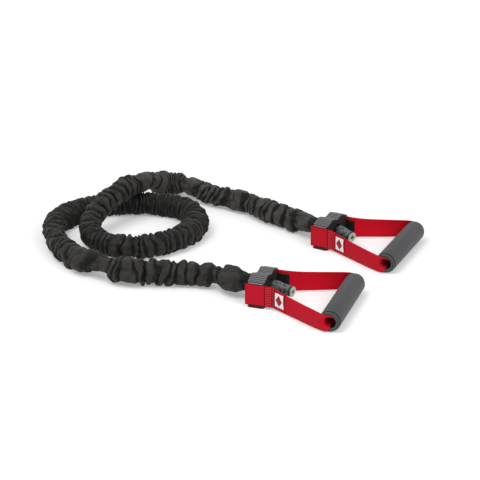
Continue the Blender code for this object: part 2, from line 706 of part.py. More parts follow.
class Strap:
    """The middle surface of a handle strap, as rows of points across its width.

    Everything is in the hub's own frame, where the grip lies across the far end of the loop.
    """

    def __init__(self, hub, grip, bend, flares):
        inverse = hub.inverted()
        self.bend = bend
        self.flares = {-1: flares[0], 1: flares[1]}
        self.rolls = {-1: STRAP_ROLLS[0], 1: STRAP_ROLLS[1]}
        self.middle = inverse @ grip.translation
        axis = (inverse.to_3x3() @ grip.to_3x3() @ Vector((1, 0, 0))).normalized()
        self.grip_axis = axis
        self.inward = Vector((-axis.y, axis.x, 0))
        if self.inward.x > 0:
            self.inward = -self.inward
        self.columns = [2 * k / STRAP_COLUMNS - 1 for k in range(STRAP_COLUMNS + 1)]

    def flat_row(self, x, y):
        """A row standing upright at a place beside the hub."""
        return [Vector((x, y, STRAP_MIDDLE + t * STRAP_WIDTH / 2)) for t in self.columns]

    def round_row(self, side, axial, radius, roll):
        """A row curled about the grip's axis and rolled down it, at a distance from the grip's middle."""
        row = []
        for t in self.columns:
            angle = t * STRAP_WIDTH / 2 / radius - roll
            out = self.inward * math.cos(angle) + Vector((0, 0, math.sin(angle)))
            row.append(self.middle + self.grip_axis * side * axial + out * radius)
        return row

    def rim_row(self, side, turn):
        radius = RIM_MIDDLE - STRAP_WRAP * math.cos(turn)
        share = turn / self.leave_angle(side)
        roll = self.rolls[side] * share + STRAP_BORE_ROLL * (1 - share)
        return self.round_row(side, RIM_AXIAL + STRAP_WRAP * math.sin(turn), radius, roll)

    def kink(self, side):
        """Centres and directions of the bend where the strap leaves the hub, from x, y and a turn."""
        for step in range(3):
            turn = self.flares[side] * step / 2
            x = self.bend + STRAP_FLARE_RADIUS * math.sin(turn)
            y = side * (STRAP_Y + STRAP_FLARE_RADIUS * (1 - math.cos(turn)))
            yield x, y, turn

    def leave_angle(self, side):
        """How far the strap wraps round the grip's rim before it runs to the hub."""
        x, y, turn = list(self.kink(side))[-1]
        rim = self.middle + self.grip_axis * side * RIM_AXIAL + self.inward * RIM_MIDDLE
        to_hub = Vector((x, y, 0)) - Vector((rim.x, rim.y, 0))
        outward = self.grip_axis * side
        bearing = math.atan2(to_hub.dot(self.inward), to_hub.dot(outward))
        return bearing + math.asin(STRAP_WRAP / to_hub.length) - STRAP_SLACK_ANGLE

    def span(self, side):
        """Rows of the free stretch, from the hub's bend to the grip's rim."""
        x, y, turn = list(self.kink(side))[-1]
        start = self.flat_row(x, y)
        leave = self.leave_angle(side)
        end = self.rim_row(side, leave)
        away = Vector((math.cos(turn), side * math.sin(turn), 0)) * STRAP_PULL_HUB
        rows = []
        for step in range(1, STRAP_SPAN_STEPS + 1):
            s = step / (STRAP_SPAN_STEPS + 1)
            row = []
            for t, a, b in zip(self.columns, start, end):
                tilt = t * STRAP_WIDTH / 2 / RIM_MIDDLE * STRAP_EDGE_FLARE - self.rolls[side]
                fall = Vector((0, 0, -STRAP_FALL * (1 + t) / 2))
                out = self.inward * math.cos(tilt) + Vector((0, 0, math.sin(tilt)))
                into = -(self.grip_axis * side * math.cos(leave) + out * math.sin(leave)) * STRAP_PULL_GRIP
                row.append(
                    a * (2 * s**3 - 3 * s**2 + 1)
                    + (away + fall) * (s**3 - 2 * s**2 + s)
                    + b * (3 * s**2 - 2 * s**3)
                    + into * (s**3 - s**2)
                )
            rows.append(row)
        return rows

    def half(self, side):
        """Rows from the hem beside the hub to the end of the bore."""
        rows = [self.flat_row(STRAP_HEM_X, side * STRAP_Y)]
        rows += [self.flat_row(x, y) for x, y, turn in self.kink(side)]
        rows += self.span(side)
        leave = self.leave_angle(side)
        for step in range(STRAP_RIM_STEPS + 1):
            rows.append(self.rim_row(side, leave * (1 - step / STRAP_RIM_STEPS)))
        return rows

    def rows(self):
        return self.half(-1) + self.half(1)[::-1]


def sheet_mesh(name, rows):
    """An open surface through rows of points."""
    bm = bmesh.new()
    grid = [[bm.verts.new(point) for point in row] for row in rows]
    for first, second in zip(grid, grid[1:]):
        for a, b, c, d in zip(first, first[1:], second[1:], second):
            bm.faces.new((a, b, c, d))
    mesh = bpy.data.meshes.new(name)
    bm.to_mesh(mesh)
    bm.free()
    return mesh


def thicken(obj, thickness):
    solid = obj.modifiers.new("thickness", "SOLIDIFY")
    solid.thickness = thickness
    solid.offset = 0.0
    solid.use_even_offset = False
    return solid


def make_strap(prefix, hub, strap, strap_finish, sling_finish, label_finish):
    """The handle strap, the sling that it is sewn to, and the label on its near side."""
    red = add(f"{prefix}_handle_strap", sheet_mesh("handle_strap", strap.rows()), strap_finish, hub)
    thicken(red, STRAP_THICKNESS)

    def low_high(x, y):
        middle = STRAP_MIDDLE
        share = min(max((x - strap.bend + SLING_CUT_RUN) / (SLING_CUT_RUN / 2), 0.0), 1.0)
        high = middle + SLING_WIDTH / 2 - SLING_TAIL_CUT * share
        return [Vector((x, y, middle - SLING_WIDTH / 2)), Vector((x, y, high))]

    inset = STRAP_THICKNESS / 2 + GAP + SLING_THICKNESS / 2
    rows = []
    for side in (-1, 1):
        tail = []
        run = strap.bend + SLING_TAIL
        flare = math.tan(strap.flares[side])
        tail.append(low_high(run, side * (SLING_Y + (SLING_TAIL - STRAP_FLARE_RADIUS / 3) * flare)))
        tail.append(low_high(strap.bend + STRAP_FLARE_RADIUS / 3, side * (SLING_Y + 0.1 * inset)))
        tail.append(low_high(strap.bend, side * SLING_Y))
        tail.append(low_high(strap.bend - SLING_CUT_RUN / 2, side * SLING_Y))
        tail.append(low_high(strap.bend - SLING_CUT_RUN, side * SLING_Y))
        corner = SLING_CORNER
        for step in range(4):
            turn = math.pi / 2 * step / 3
            x = SLING_X + corner - corner * math.sin(turn)
            y = side * (SLING_Y - corner + corner * math.cos(turn))
            tail.append(low_high(x, y))
        rows.append(tail)
    u_rows = rows[0] + rows[1][::-1]
    sling = add(f"{prefix}_inner_sling", sheet_mesh("inner_sling", u_rows), sling_finish, hub)
    thicken(sling, SLING_THICKNESS)
    hole_radius = EYELET_RADIUS + GAP
    hole = cone("sling_hole", hole_radius, hole_radius, SLING_X - 4 * MM, SLING_X + 4 * MM, "X",
                (0, 0, TUBE_HEIGHT))
    cut(sling, add(f"{prefix}_sling_hole", hole, place=hub), "hole")

    line = [strap.flat_row(x, y) for x, y, turn in strap.kink(-1)] + strap.span(-1)
    line = Line([row[STRAP_COLUMNS // 2] for row in line])
    steps = 5
    begin = LABEL_FROM_HEM - (strap.bend - STRAP_HEM_X)
    patch = []
    for step in range(steps + 1):
        point = line.at(begin + LABEL_WIDTH * step / steps)
        ahead = line.at(begin + LABEL_WIDTH * step / steps + 1 * MM)
        out = Vector(((ahead - point).y, -(ahead - point).x, 0)).normalized()
        away = STRAP_THICKNESS / 2 + GAP + 0.35 * MM + LABEL_THICKNESS / 2
        place = point + out * away
        patch.append([Vector((place.x, place.y, STRAP_MIDDLE + s * LABEL_HEIGHT / 2)) for s in (-1, 1)])
    label = add(f"{prefix}_strap_label", sheet_mesh("strap_label", patch), label_finish, hub)
    thicken(label, LABEL_THICKNESS)


def make_grip(prefix, grip, foam_finish, core_finish, cap_finish):
    """The foam, its core and the two domed caps, all turned about the grip's axis."""
    place = grip @ Matrix.Rotation(math.pi / 2, 4, "Y")
    half = GRIP_LENGTH / 2
    edge = FOAM_EDGE
    foam = [
        (FOAM_RADIUS - edge, half),
        (FOAM_RADIUS, half - edge),
        (FOAM_RADIUS, edge - half),
        (FOAM_RADIUS - edge, -half),
        (FOAM_BORE_RADIUS, -half),
        (FOAM_BORE_RADIUS, half),
    ]
    turned(f"{prefix}_grip_foam", foam, foam_finish, place)
    core = [
        (CORE_RADIUS, half),
        (CORE_RADIUS, -half),
        (CORE_BORE_RADIUS, -half),
        (CORE_BORE_RADIUS, half),
    ]
    turned(f"{prefix}_grip_core", core, core_finish, place)
    rim_steps = 5
    for side, name in ((-1, "near"), (1, "far")):
        base = half + GAP
        rim = []
        for step in range(rim_steps + 1):
            turn = math.pi * step / rim_steps
            rim.append((RIM_MIDDLE - RIM_RADIUS * math.cos(turn), RIM_AXIAL + RIM_RADIUS * math.sin(turn)))
        profile = [*rim, (CAP_RADIUS, base), (SPIGOT_RADIUS, base), (SPIGOT_RADIUS, half - SPIGOT_LENGTH)]
        profile.append((GRIP_BORE_RADIUS, half - SPIGOT_LENGTH))
        profile = [(radius, side * height) for radius, height in profile]
        if side < 0:
            profile.reverse()
        turned(f"{prefix}_{name}_grip_cap", profile, cap_finish, place)


def main():
    clear_scene()
    rubber = material("rubber", (0.05, 0.05, 0.052), 0.55)
    fabric = material("sleeve_fabric", (0.028, 0.027, 0.026), 0.9)
    elastic = material("cuff_elastic", (0.02, 0.02, 0.02), 0.85)
    plastic = material("hub_plastic", (0.06, 0.06, 0.062), 0.5)
    steel = material("screw_steel", (0.5, 0.5, 0.52), 0.35, 1.0)
    black = material("sling_webbing", (0.02, 0.02, 0.021), 0.8)
    red = material("strap_webbing", (0.5, 0.012, 0.02), 0.7)
    woven = material("label_cloth", (0.85, 0.84, 0.83), 0.7)
    clear = material("plug_plastic", (0.62, 0.68, 0.6), 0.35)
    foam = material("grip_foam", (0.09, 0.09, 0.095), 0.85)
    tube = material("core_plastic", (0.04, 0.04, 0.042), 0.5)
    cap = material("cap_plastic", (0.06, 0.06, 0.065), 0.45)

    ends = []
    for prefix, layout in (("front", FRONT), ("back", BACK)):
        hub = end_matrix(layout["hub"], layout["hub_turn"])
        grip = end_matrix(layout["grip"], layout["grip_turn"], FOAM_RADIUS)
        ends.append((prefix, hub))
        make_hub(prefix, hub, plastic, steel)
        strap = Strap(hub, grip, layout["strap_bend"], layout["strap_flares"])
        make_strap(prefix, hub, strap, red, black, woven)
        make_eyelet(prefix, hub, tube)
        make_tail(prefix, hub, layout["tail_end"], rubber, clear)
        make_grip(prefix, grip, foam, tube, cap)
    front, back = (hub for prefix, hub in ends)
    line = sleeve_line(front, back)
    make_tube(front, back, line, rubber)
    make_sleeve(line, fabric)
    make_cuffs(ends, elastic)


main()
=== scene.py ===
"""The looks of a resistance tube with two strap handles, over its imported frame.

Lengths are metres in the frame's axes: the floor at z 0, +X right, +Y back. Sizes shared with the
frame's solids keep the names and values of the part's source.
"""

import math

import bmesh
import bpy
import numpy as np
from mathutils import Matrix, Vector


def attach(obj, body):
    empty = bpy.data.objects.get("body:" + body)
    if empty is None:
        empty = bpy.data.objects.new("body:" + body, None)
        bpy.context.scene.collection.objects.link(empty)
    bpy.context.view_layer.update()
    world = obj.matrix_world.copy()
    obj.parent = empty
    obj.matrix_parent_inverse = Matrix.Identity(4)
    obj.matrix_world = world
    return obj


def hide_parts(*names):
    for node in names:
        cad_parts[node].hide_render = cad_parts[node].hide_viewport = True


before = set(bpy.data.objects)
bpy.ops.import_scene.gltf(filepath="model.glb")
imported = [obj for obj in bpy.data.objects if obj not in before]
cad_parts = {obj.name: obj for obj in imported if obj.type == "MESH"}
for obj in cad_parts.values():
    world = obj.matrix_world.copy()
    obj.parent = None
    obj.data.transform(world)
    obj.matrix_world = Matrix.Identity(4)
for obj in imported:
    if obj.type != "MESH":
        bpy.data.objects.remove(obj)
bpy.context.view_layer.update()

MM = 0.001
GAP = 0.3 * MM

# The camera of the photograph: it looks at a point of the floor.
CAMERA_TARGET = Vector((-145.728 * MM, 164.125 * MM, 0))
CAMERA_ELEVATION = math.radians(21.5)
CAMERA_DISTANCE = 2.981
# In millimetres, as a camera's makers give them
CAMERA_LENS = 144.3
CAMERA_SENSOR = 36

# Each lamp's name, place, width in metres and power in watts; and half the floor's width
LAMPS = (("main lamp", (-1.3, -0.9, 2.8), 1.9, 38), ("front lamp", (1.3, -2.1, 1.6), 1.4, 25))
FLOOR_REACH = 9

# Sizes of the part's source
TUBE_RADIUS = 6.5 * MM
TUBE_BORE_RADIUS = 3.2 * MM
TUBE_HEIGHT = 24 * MM
TUBE_PLAY = 0.4 * MM
SLEEVE_RADIUS = 17.4 * MM
SLEEVE_NECK_LENGTH = 14 * MM
CUFF_RADIUS = 13 * MM
CUFF_LENGTH = 6 * MM
STRAP_WIDTH = 32 * MM
STRAP_THICKNESS = 1.8 * MM
SLING_WIDTH = 30 * MM
SLING_THICKNESS = 1.4 * MM
SLING_CORNER = 3 * MM
SLING_TAIL = 5 * MM
SLING_TAIL_CUT = 4 * MM
SLING_CUT_RUN = 19 * MM
STRAP_HEM_X = -15.5 * MM
STRAP_FLARE_RADIUS = 8 * MM
STRAP_ROLLS = (math.radians(13), math.radians(-8))
STRAP_BORE_ROLL = math.radians(-15)
STRAP_FALL = 15 * MM
STRAP_SLACK_ANGLE = math.radians(7)
STRAP_PULL_HUB = 55 * MM
STRAP_PULL_GRIP = 26 * MM
STRAP_EDGE_FLARE = 0.3
LABEL_WIDTH = 17.5 * MM
LABEL_HEIGHT = 20.5 * MM
LABEL_THICKNESS = 0.7 * MM
LABEL_FROM_HEM = 48.5 * MM
EYELET_WALL = 1.3 * MM
EYELET_FLANGE_RADIUS = 12 * MM
EYELET_FLANGE = 1.4 * MM
HUB_LENGTH = 25 * MM
FLANGE_THICKNESS = 3.5 * MM
CORE_HALF_WIDTH = 29.7 * MM
TAIL_START_X = 14 * MM
COLLAR_RADIUS = 8.9 * MM
COLLAR_NOSE_RADIUS = 8 * MM
COLLAR_BAND = 12 * MM
COLLAR_FROM_HUB = 2.6 * MM
COLLAR_FROM_END = 1.5 * MM
PLUG_RADIUS = 7.8 * MM
PLUG_FLANGE = 2.4 * MM
PLUG_HOLE_RADIUS = 1.5 * MM
GRIP_LENGTH = 143 * MM
FOAM_RADIUS = 15.5 * MM
CORE_RADIUS = 11.8 * MM
CORE_WALL = 1.3 * MM
CAP_RADIUS = 14.3 * MM
CAP_LENGTH = 4 * MM
SPIGOT_WALL = 1.2 * MM
SPIGOT_LENGTH = 9 * MM

MIDDLE = (112.728 * MM, 68.775 * MM)
FRONT = {
    "hub": (0.0, 0.0),
    "hub_turn": math.radians(-20),
    "grip": (111.9 * MM, -44.1 * MM),
    "grip_turn": math.radians(72.8),
    "strap_bend": 24 * MM,
    "strap_flares": (math.radians(33), math.radians(29)),
    "tail_end": (45.3 * MM, -6.6 * MM, -2.4 * MM),
}
BACK = {
    "hub": (106 * MM, 221 * MM),
    "hub_turn": math.radians(-32),
    "grip": (210 * MM, 166.9 * MM),
    "grip_turn": math.radians(67.4),
    "strap_bend": 19.5 * MM,
    "strap_flares": (math.radians(24), math.radians(35)),
    "tail_end": (41.3 * MM, -8.4 * MM, -3 * MM),
}
LAYOUTS = {"front": FRONT, "back": BACK}

# The sleeve's middle line, as in the part's source, in millimetres from the front hub
ROUTE = (
    (-37.4, 14.4, 23.5), (-45.5, 21.5, 21.9), (-60.5, 35.5, 19.6), (-85, 49, 18.6), (-117, 54, 18.6),
    (-150, 54, 18.6), (-185, 55, 18.6), (-218, 61, 18.6), (-251, 88, 18.4), (-281.5, 121, 17.9),
    (-306, 165, 17.8), (-321.5, 217, 17.8), (-322.5, 265, 17.8), (-306, 309, 17.8), (-277, 337, 17.8),
    (-240, 347, 17.8), (-201, 347, 17.8), (-163, 346, 17.8), (-130, 333, 17.8), (-107, 305, 17.8),
    (-99.5, 268, 17.8), (-105.5, 227, 17.8), (-127.5, 191, 17.8), (-160, 167, 17.8), (-194, 155.5, 17.8),
    (-228, 162, 17.8), (-254.5, 187, 19), (-267, 221, 23), (-262, 254, 32), (-244, 281, 44.5),
    (-219.6, 312, 54.6), (-199.5, 339, 56), (-186.5, 375, 47.5), (-177.5, 405, 34.2), (-169.5, 424, 26),
    (-160.6, 435.5, 21.4), (-146.6, 440.5, 19.6), (-131.3, 438.5, 18.8), (-118, 429.5, 18.6),
    (-104, 414.5, 18.6), (-90, 398, 18.6), (-75, 383.5, 18.6), (-52, 369.5, 18.6), (-23, 354.5, 18.6),
    (3, 321, 18.6), (25, 299, 18.6), (42, 283.5, 19), (56, 267, 20.6), (66.8, 252.7, 22.2),
    (73.8, 243.2, 23.5),
)

# The seams across a strap, in millimetres from its hem: round the sewing beside the hub and the label
SEWING_SEAMS = (29.4, 41.2)
LABEL_SEAMS = (46.7, 68.0)

# The sewing, from its start along the strap in millimetres: rows of tacks, then a zigzag. Their
# spreads are shares of half the strap's width.
SEWING_START = 29 * MM
THREAD_LIFT = 0.12 * MM
TACK_ROWS = 11
TACK_SPREAD = 0.84
TACKS_PER_ROW = 3
TACK_START = 1.6
TACK_PITCH = 3.3
TACK_LENGTH = 2.4 * MM
TACK_SINK = 0.25 * MM
ZIGZAG_POINTS = 41
ZIGZAG_START = 14.2
ZIGZAG_SWING = 1.0
ZIGZAG_SPREAD = 0.9

# The steps of curves, rings and rows, and the roundings and patterns that only the scene has
CURVE_STEPS = 14
RING_STEPS = 96
STRAP_COLUMNS = 24
STRAP_SPAN_STEPS = 40
STRAP_RIM_STEPS = 14
KINK_STEPS = 6
SLING_COLUMNS = 16
SLING_RUN_STEPS = 13
SLING_CORNER_STEPS = 8
CAP_RIM_STEPS = 12
CUFF_GROOVES = 4
LABEL_STEPS = 12
CORD_SPACING = 9 * MM
LINE_SPACING = 2.5 * MM
NECK_STEP = 5 * MM
SHELL_ROUNDING = 0.45 * MM
COLLAR_ROUNDING = 0.8 * MM
CUFF_GROOVE = 0.35 * MM
LABEL_STAND_OFF = 0.35 * MM
LABEL_EDGE_DROP = 0.25 * MM
RIB_MARGIN = 2.2 * MM
RIBS_PER_HALF = 9.5
PLEAT_LENGTH = 4 * MM
# In millimetres: the weave's steps across and along a tape, and the label's diamond
CORD_PITCH = 1.25
PICK_PITCH = 0.9
DIAMOND_HALF_WIDTH = 7
DIAMOND_HALF_HEIGHT = 8.4

# The foam's rounded corner, in millimetres in from its radius and down from its end
FOAM_CORNER = ((1.6, 0), (0.8, 0.2), (0.2, 0.8), (0, 1.8))
# How pale each point of a profile is, with painted shade: the foam's from its bore outwards, dark
# at its ends, the cap's round its rim, with a dark line and dark in its bore and at its foot, and
# the plug's from its face to its hole
FOAM_MARKS = [0.0, 0.0, 0.2, 0.6, 1.0]
CAP_MARKS = [0.2, 0.3, 0.5, 0.8, 1.0, 1.0, 0.7, 0.1, 0.0, 0.5, 1.0, 0.8, 0.3, 0.0, 0.0, 0.0, 0.0, 0.1]
PLUG_MARKS = [1.0, 1.0, 0.45, 0.0, 0.0, 0.0, 0.0, 2.0, 2.0, 1.7]

# Sizes that follow
CORE_BORE_RADIUS = CORE_RADIUS - CORE_WALL
SPIGOT_RADIUS = CORE_BORE_RADIUS - GAP
GRIP_BORE_RADIUS = SPIGOT_RADIUS - SPIGOT_WALL
FOAM_BORE_RADIUS = CORE_RADIUS + GAP
RIM_RADIUS = (CAP_RADIUS - GRIP_BORE_RADIUS) / 2
RIM_MIDDLE = (CAP_RADIUS + GRIP_BORE_RADIUS) / 2
RIM_AXIAL = GRIP_LENGTH / 2 + GAP + CAP_LENGTH - RIM_RADIUS
STRAP_WRAP = RIM_RADIUS + GAP + STRAP_THICKNESS / 2
STRAP_MIDDLE = FLANGE_THICKNESS + GAP + STRAP_WIDTH / 2
SLING_Y = CORE_HALF_WIDTH + GAP + SLING_THICKNESS / 2
STRAP_Y = SLING_Y + SLING_THICKNESS / 2 + GAP + STRAP_THICKNESS / 2
SLING_X = -HUB_LENGTH / 2 - GAP - SLING_THICKNESS / 2
COVER_LOW = STRAP_MIDDLE + STRAP_WIDTH / 2 + GAP
RIB_HALF_WIDTH = STRAP_Y + STRAP_THICKNESS / 2 - RIB_MARGIN
RIB_PITCH = RIB_HALF_WIDTH / RIBS_PER_HALF
EYELET_HOLE_RADIUS = TUBE_RADIUS + TUBE_PLAY
EYELET_RADIUS = EYELET_HOLE_RADIUS + EYELET_WALL
EYELET_FACE_X = SLING_X - SLING_THICKNESS / 2 - GAP
CUFF_X = EYELET_FACE_X - EYELET_FLANGE - GAP
SLEEVE_X = CUFF_X - CUFF_LENGTH - GAP


class Wire:
    """A value that runs through a node tree. Sums written with it add Math nodes."""

    def __init__(self, nodes, socket):
        self.nodes = nodes
        self.socket = socket

    def out(self, name):
        """Another output of the node that this one comes from."""
        return Wire(self.nodes, self.socket.node.outputs[name])

    def math(self, operation, *others):
        return self.nodes.math(operation, self, *others)

    def __add__(self, other):
        return self.math("ADD", other)

    def __radd__(self, other):
        return self.nodes.math("ADD", other, self)

    def __sub__(self, other):
        return self.math("SUBTRACT", other)

    def __rsub__(self, other):
        return self.nodes.math("SUBTRACT", other, self)

    def __mul__(self, other):
        return self.math("MULTIPLY", other)

    def __rmul__(self, other):
        return self.nodes.math("MULTIPLY", other, self)

    def __truediv__(self, other):
        return self.math("DIVIDE", other)

    def __pow__(self, other):
        return self.math("POWER", other)

    def __lt__(self, other):
        return self.math("LESS_THAN", other)

    def __gt__(self, other):
        return self.math("GREATER_THAN", other)

    def __abs__(self):
        return self.math("ABSOLUTE")


class Nodes:
    """The nodes of one material or of one modifier."""

    def __init__(self, tree):
        self.tree = tree

    def add(self, kind, inputs=None, out=0, **settings):
        """Adds a node with its settings first, then the values or wires of its sockets."""
        node = self.tree.nodes.new(kind)
        for name, value in settings.items():
            setattr(node, name, value)
        for name, value in (inputs or {}).items():
            self.feed(node.inputs[name], value)
        return Wire(self, node.outputs[out]) if node.outputs else node

    def feed(self, socket, value):
        if isinstance(value, Wire):
            self.tree.links.new(value.socket, socket)
        else:
            socket.default_value = value

    def math(self, operation, *values):
        return self.add("ShaderNodeMath", dict(enumerate(values)), operation=operation)

    def vector(self, x, y, z):
        return self.add("ShaderNodeCombineXYZ", {"X": x, "Y": y, "Z": z})

    def split(self, vector):
        """A vector's three numbers."""
        numbers = self.add("ShaderNodeSeparateXYZ", {"Vector": vector})
        return [numbers.out(axis) for axis in "XYZ"]

    def between(self, value, low, high, start=0.0, end=1.0):
        """The value's smooth way from low to high, as a number from start to end."""
        inputs = {"Value": value, "From Min": low, "From Max": high, "To Min": start, "To Max": end}
        return self.add("ShaderNodeMapRange", inputs, interpolation_type="SMOOTHSTEP")

    def noise(self, place, scale, detail=2.0, roughness=0.5):
        """Soft noise from 0 to 1 over a place in space."""
        inputs = {"Vector": place, "Scale": scale, "Detail": detail, "Roughness": roughness}
        return self.add("ShaderNodeTexNoise", inputs)

    def chance(self, number):
        """A steady pseudo-random value from 0 to 1 for a whole number."""
        return self.add("ShaderNodeTexWhiteNoise", {"W": number}, noise_dimensions="1D")

    def colours(self, factor, first, second):
        """The mix of two colours, each a triple or a wire."""
        first, second = (c if isinstance(c, Wire) else (*c, 1) for c in (first, second))
        return self.add("ShaderNodeMix", {0: factor, 6: first, 7: second}, out=2, data_type="RGBA")


class Finish(Nodes):
    """A material, with its shader's fixed values set on the shader."""

    def __init__(self, name, **values):
        self.material = bpy.data.materials.new(name)
        self.material.use_nodes = True
        super().__init__(self.material.node_tree)
        self.shader = self.tree.nodes["Principled BSDF"]
        self.set(**values)

    def set(self, **values):
        """Sets or wires shader sockets, named with underscores."""
        for name, value in values.items():
            if name == "Base_Color" and not isinstance(value, Wire):
                value = (*value, 1)
            self.feed(self.shader.inputs[name.replace("_", " ")], value)
        return self

    def place(self):
        return self.add("ShaderNodeTexCoord", out="Object")

    def cloud(self, scale, detail=2.0, roughness=0.5):
        """Soft noise over the piece's own space."""
        return self.noise(self.place(), scale, detail, roughness)

    def mark(self, name="mark"):
        """A number that the mesh keeps for each point or face."""
        return self.add("ShaderNodeAttribute", out="Fac", attribute_name=name)

    def cloth_map(self, name):
        """Along and across a cloth, from the map of that name."""
        return self.split(self.add("ShaderNodeUVMap", uv_map=name))[:2]

    def bump(self, height, depth):
        """Lets a height, from 0 to 1, stand out of the surface by a depth in metres."""
        return self.set(Normal=self.add("ShaderNodeBump", {"Height": height, "Distance": depth}))

    def grained(self, depth=0.06 * MM, scale=900, detail=2):
        """Ends the finish with a fine grain, and gives its material."""
        return self.bump(self.cloud(scale, detail), depth).material


def srgb(*levels):
    """Red, green and blue display levels from 0 to 255, as the linear colour that shows so."""
    shares = [level / 255 for level in levels]
    return tuple(s / 12.92 if s <= 0.04045 else ((s + 0.055) / 1.055) ** 2.4 for s in shares)


def sleeve_cloth():
    """Thin black cloth: pleated along the tube, with painted shade in its creases and hollows.

    The mesh keeps the painted shade of its creases, wrinkles and folds, how pale the cloth is
    there and how finely it gathers.
    """
    cloth = Finish("sleeve cloth", Specular_IOR_Level=0.22, Sheen_Weight=0.06, Sheen_Roughness=0.4)
    cloud, fibre = cloth.cloud(38, 3), cloth.cloud(2600)
    marks = ("shade", "tone", "fine", "reach", "side", "up")
    shade, tone, fine, reach, side, up = (cloth.mark(name) for name in marks)
    pleat = cloth.noise(cloth.vector(reach / PLEAT_LENGTH, side * 1.3, up * 1.3), 1.0, 2.5)
    open_cloth = cloth.colours(tone + (cloud - 0.5) * 0.5, srgb(28, 25, 22), srgb(76, 73, 68))
    # Painted shade: darker in the pleat noise's hollows where gathers are fine, near black in creases
    shade = shade + (0.5 - pleat) * 1.8 * fine
    cloth.set(Base_Color=cloth.colours(cloth.between(shade, 0.02, 0.58), open_cloth, srgb(7, 7, 6)))
    cloth.set(Roughness=0.55 + cloud * 0.2)
    return cloth.bump(pleat + fibre * 0.08, 1.5 * MM).material


def webbing_cloth(name, dark, light, sheen, sewn=None):
    """Woven tape: cords along it, each with slanting picks that lean to and fro, and painted shade
    in the weave's grooves.

    On a sewn tape the near side's seams, in millimetres from the hem, are drawn in and take the
    colour of sewn: partly the stitching's own red, partly painted shade of the puckers. The far
    side is painted a purer, brighter red for the red light that the strap's loop throws back on it.
    """
    cloth = Finish(name, Specular_IOR_Level=0.12, Sheen_Weight=sheen, Sheen_Roughness=0.4)
    along, across = cloth.cloth_map("weave")
    cord = across / CORD_PITCH
    lean = cord.math("FLOOR").math("MODULO", 2) * 2 - 1
    ridge = abs((cord * math.pi).math("SINE"))
    pick = abs(((along / PICK_PITCH + lean * cord * 0.6) * math.pi).math("SINE"))
    height = ridge * 0.65 + pick * ridge * 0.35
    wear = cloth.cloud(90, 3)
    # Painted shade in the weave's grooves, paler on its ridges, mixed with a random wear cloud
    shade = height * 0.5 + wear * 0.5
    base = cloth.colours(shade, dark, light)
    if sewn:
        # Painted light: the far half is a purer red for the red light bounced inside the loop
        far = cloth.colours(shade, srgb(192, 3, 26), srgb(232, 10, 42))
        base = cloth.colours(along < 0, base, far)
        # Partly painted shade: the sewn zone and its seam lines darken for stitching and puckers
        drawn = (along > SEWING_SEAMS[0]) * (along < SEWING_SEAMS[1]) * 0.35
        for seam in (*SEWING_SEAMS, *LABEL_SEAMS):
            drawn = drawn.math("MAXIMUM", 1 - cloth.between(abs(along - seam), 0.5, 1.5))
        base = cloth.colours(drawn, base, sewn)
    cloth.set(Base_Color=base, Roughness=0.5 + wear * 0.3)
    return cloth.bump(height, 0.3 * MM).material


def label_cloth():
    """White woven label with a plain diamond on it."""
    cloth = Finish("label cloth", Roughness=0.75)
    along, across = cloth.cloth_map("label")
    x = (along - 0.5) * (LABEL_WIDTH / MM)
    y = (across - 0.5) * (LABEL_HEIGHT / MM)
    diamond = abs(x) / DIAMOND_HALF_WIDTH + abs(y) / DIAMOND_HALF_HEIGHT < 1
    weave = cloth.cloud(1500)
    ground = cloth.colours(weave, srgb(232, 230, 230), srgb(252, 251, 251))
    cloth.set(Base_Color=cloth.colours(diamond, ground, srgb(150, 14, 30)))
    return cloth.bump(weave, 0.05 * MM).material


def moulded_plastic():
    """The cores' and eyelets' plastic, with faint cloudy wear."""
    plastic = Finish("core plastic")
    cloud = plastic.cloud(60, 4)
    plastic.set(Base_Color=plastic.colours(cloud, srgb(34, 34, 36), srgb(48, 48, 50)))
    return plastic.set(Roughness=0.5 - 0.08 + cloud * 0.16).grained()


def marked_plastic():
    """The caps' plastic, which the mesh's marks make paler, from 0 to 1, with painted shade where
    they are low: a line round the rim, the bore and the foot against the foam.
    """
    plastic = Finish("cap plastic")
    cloud = plastic.cloud(120, 3)
    # Painted shade from the marks, with a random mottle
    rim_shade_and_mottle = plastic.mark() * (0.8 + cloud * 0.4)
    plastic.set(Base_Color=plastic.colours(rim_shade_and_mottle, srgb(8, 9, 8), srgb(68, 69, 68)))
    return plastic.set(Roughness=0.35 + cloud * 0.2).grained()


def ribbed_plastic():
    """The hub's plastic: painted light on the ribbed top's ridges, painted shade in its grooves."""
    plastic = Finish("hub plastic", Specular_IOR_Level=0.3)
    cloud = plastic.cloud(60, 4)
    # Painted light and shade: up-facing faces of the ribbed top are pale as if lit, grooves dark
    top = plastic.mark("top")
    from_groove = abs((plastic.mark("across") / RIB_PITCH).math("FRACT") - 0.5)
    groove = plastic.between(from_groove, 0.2, 0.4) * top
    lit_top_and_groove_shade = plastic.colours(groove, srgb(117, 117, 119), srgb(15, 15, 16))
    plain = plastic.colours(cloud, srgb(20, 20, 21), srgb(34, 34, 35))
    plastic.set(Base_Color=plastic.colours(top, plain, lit_top_and_groove_shade), Roughness=0.4 + cloud * 0.16)
    return plastic.grained()


def foam_rubber():
    """Closed-cell foam: fine pits and a faint mottle; a mark paints shade dark at its ends."""
    foam = Finish("foam rubber", Specular_IOR_Level=0.35, Sheen_Weight=0.05, Sheen_Roughness=0.6)
    cells = foam.add("ShaderNodeTexVoronoi", {"Vector": foam.place(), "Scale": 1300.0})
    cloud = foam.cloud(70, 4)
    grey = foam.colours(cloud, srgb(48, 48, 52), srgb(66, 66, 70))
    foam.set(Base_Color=foam.colours(foam.mark(), srgb(14, 14, 16), grey))
    return foam.set(Roughness=0.5 + cloud * 0.15).bump(cells, 0.22 * MM).material


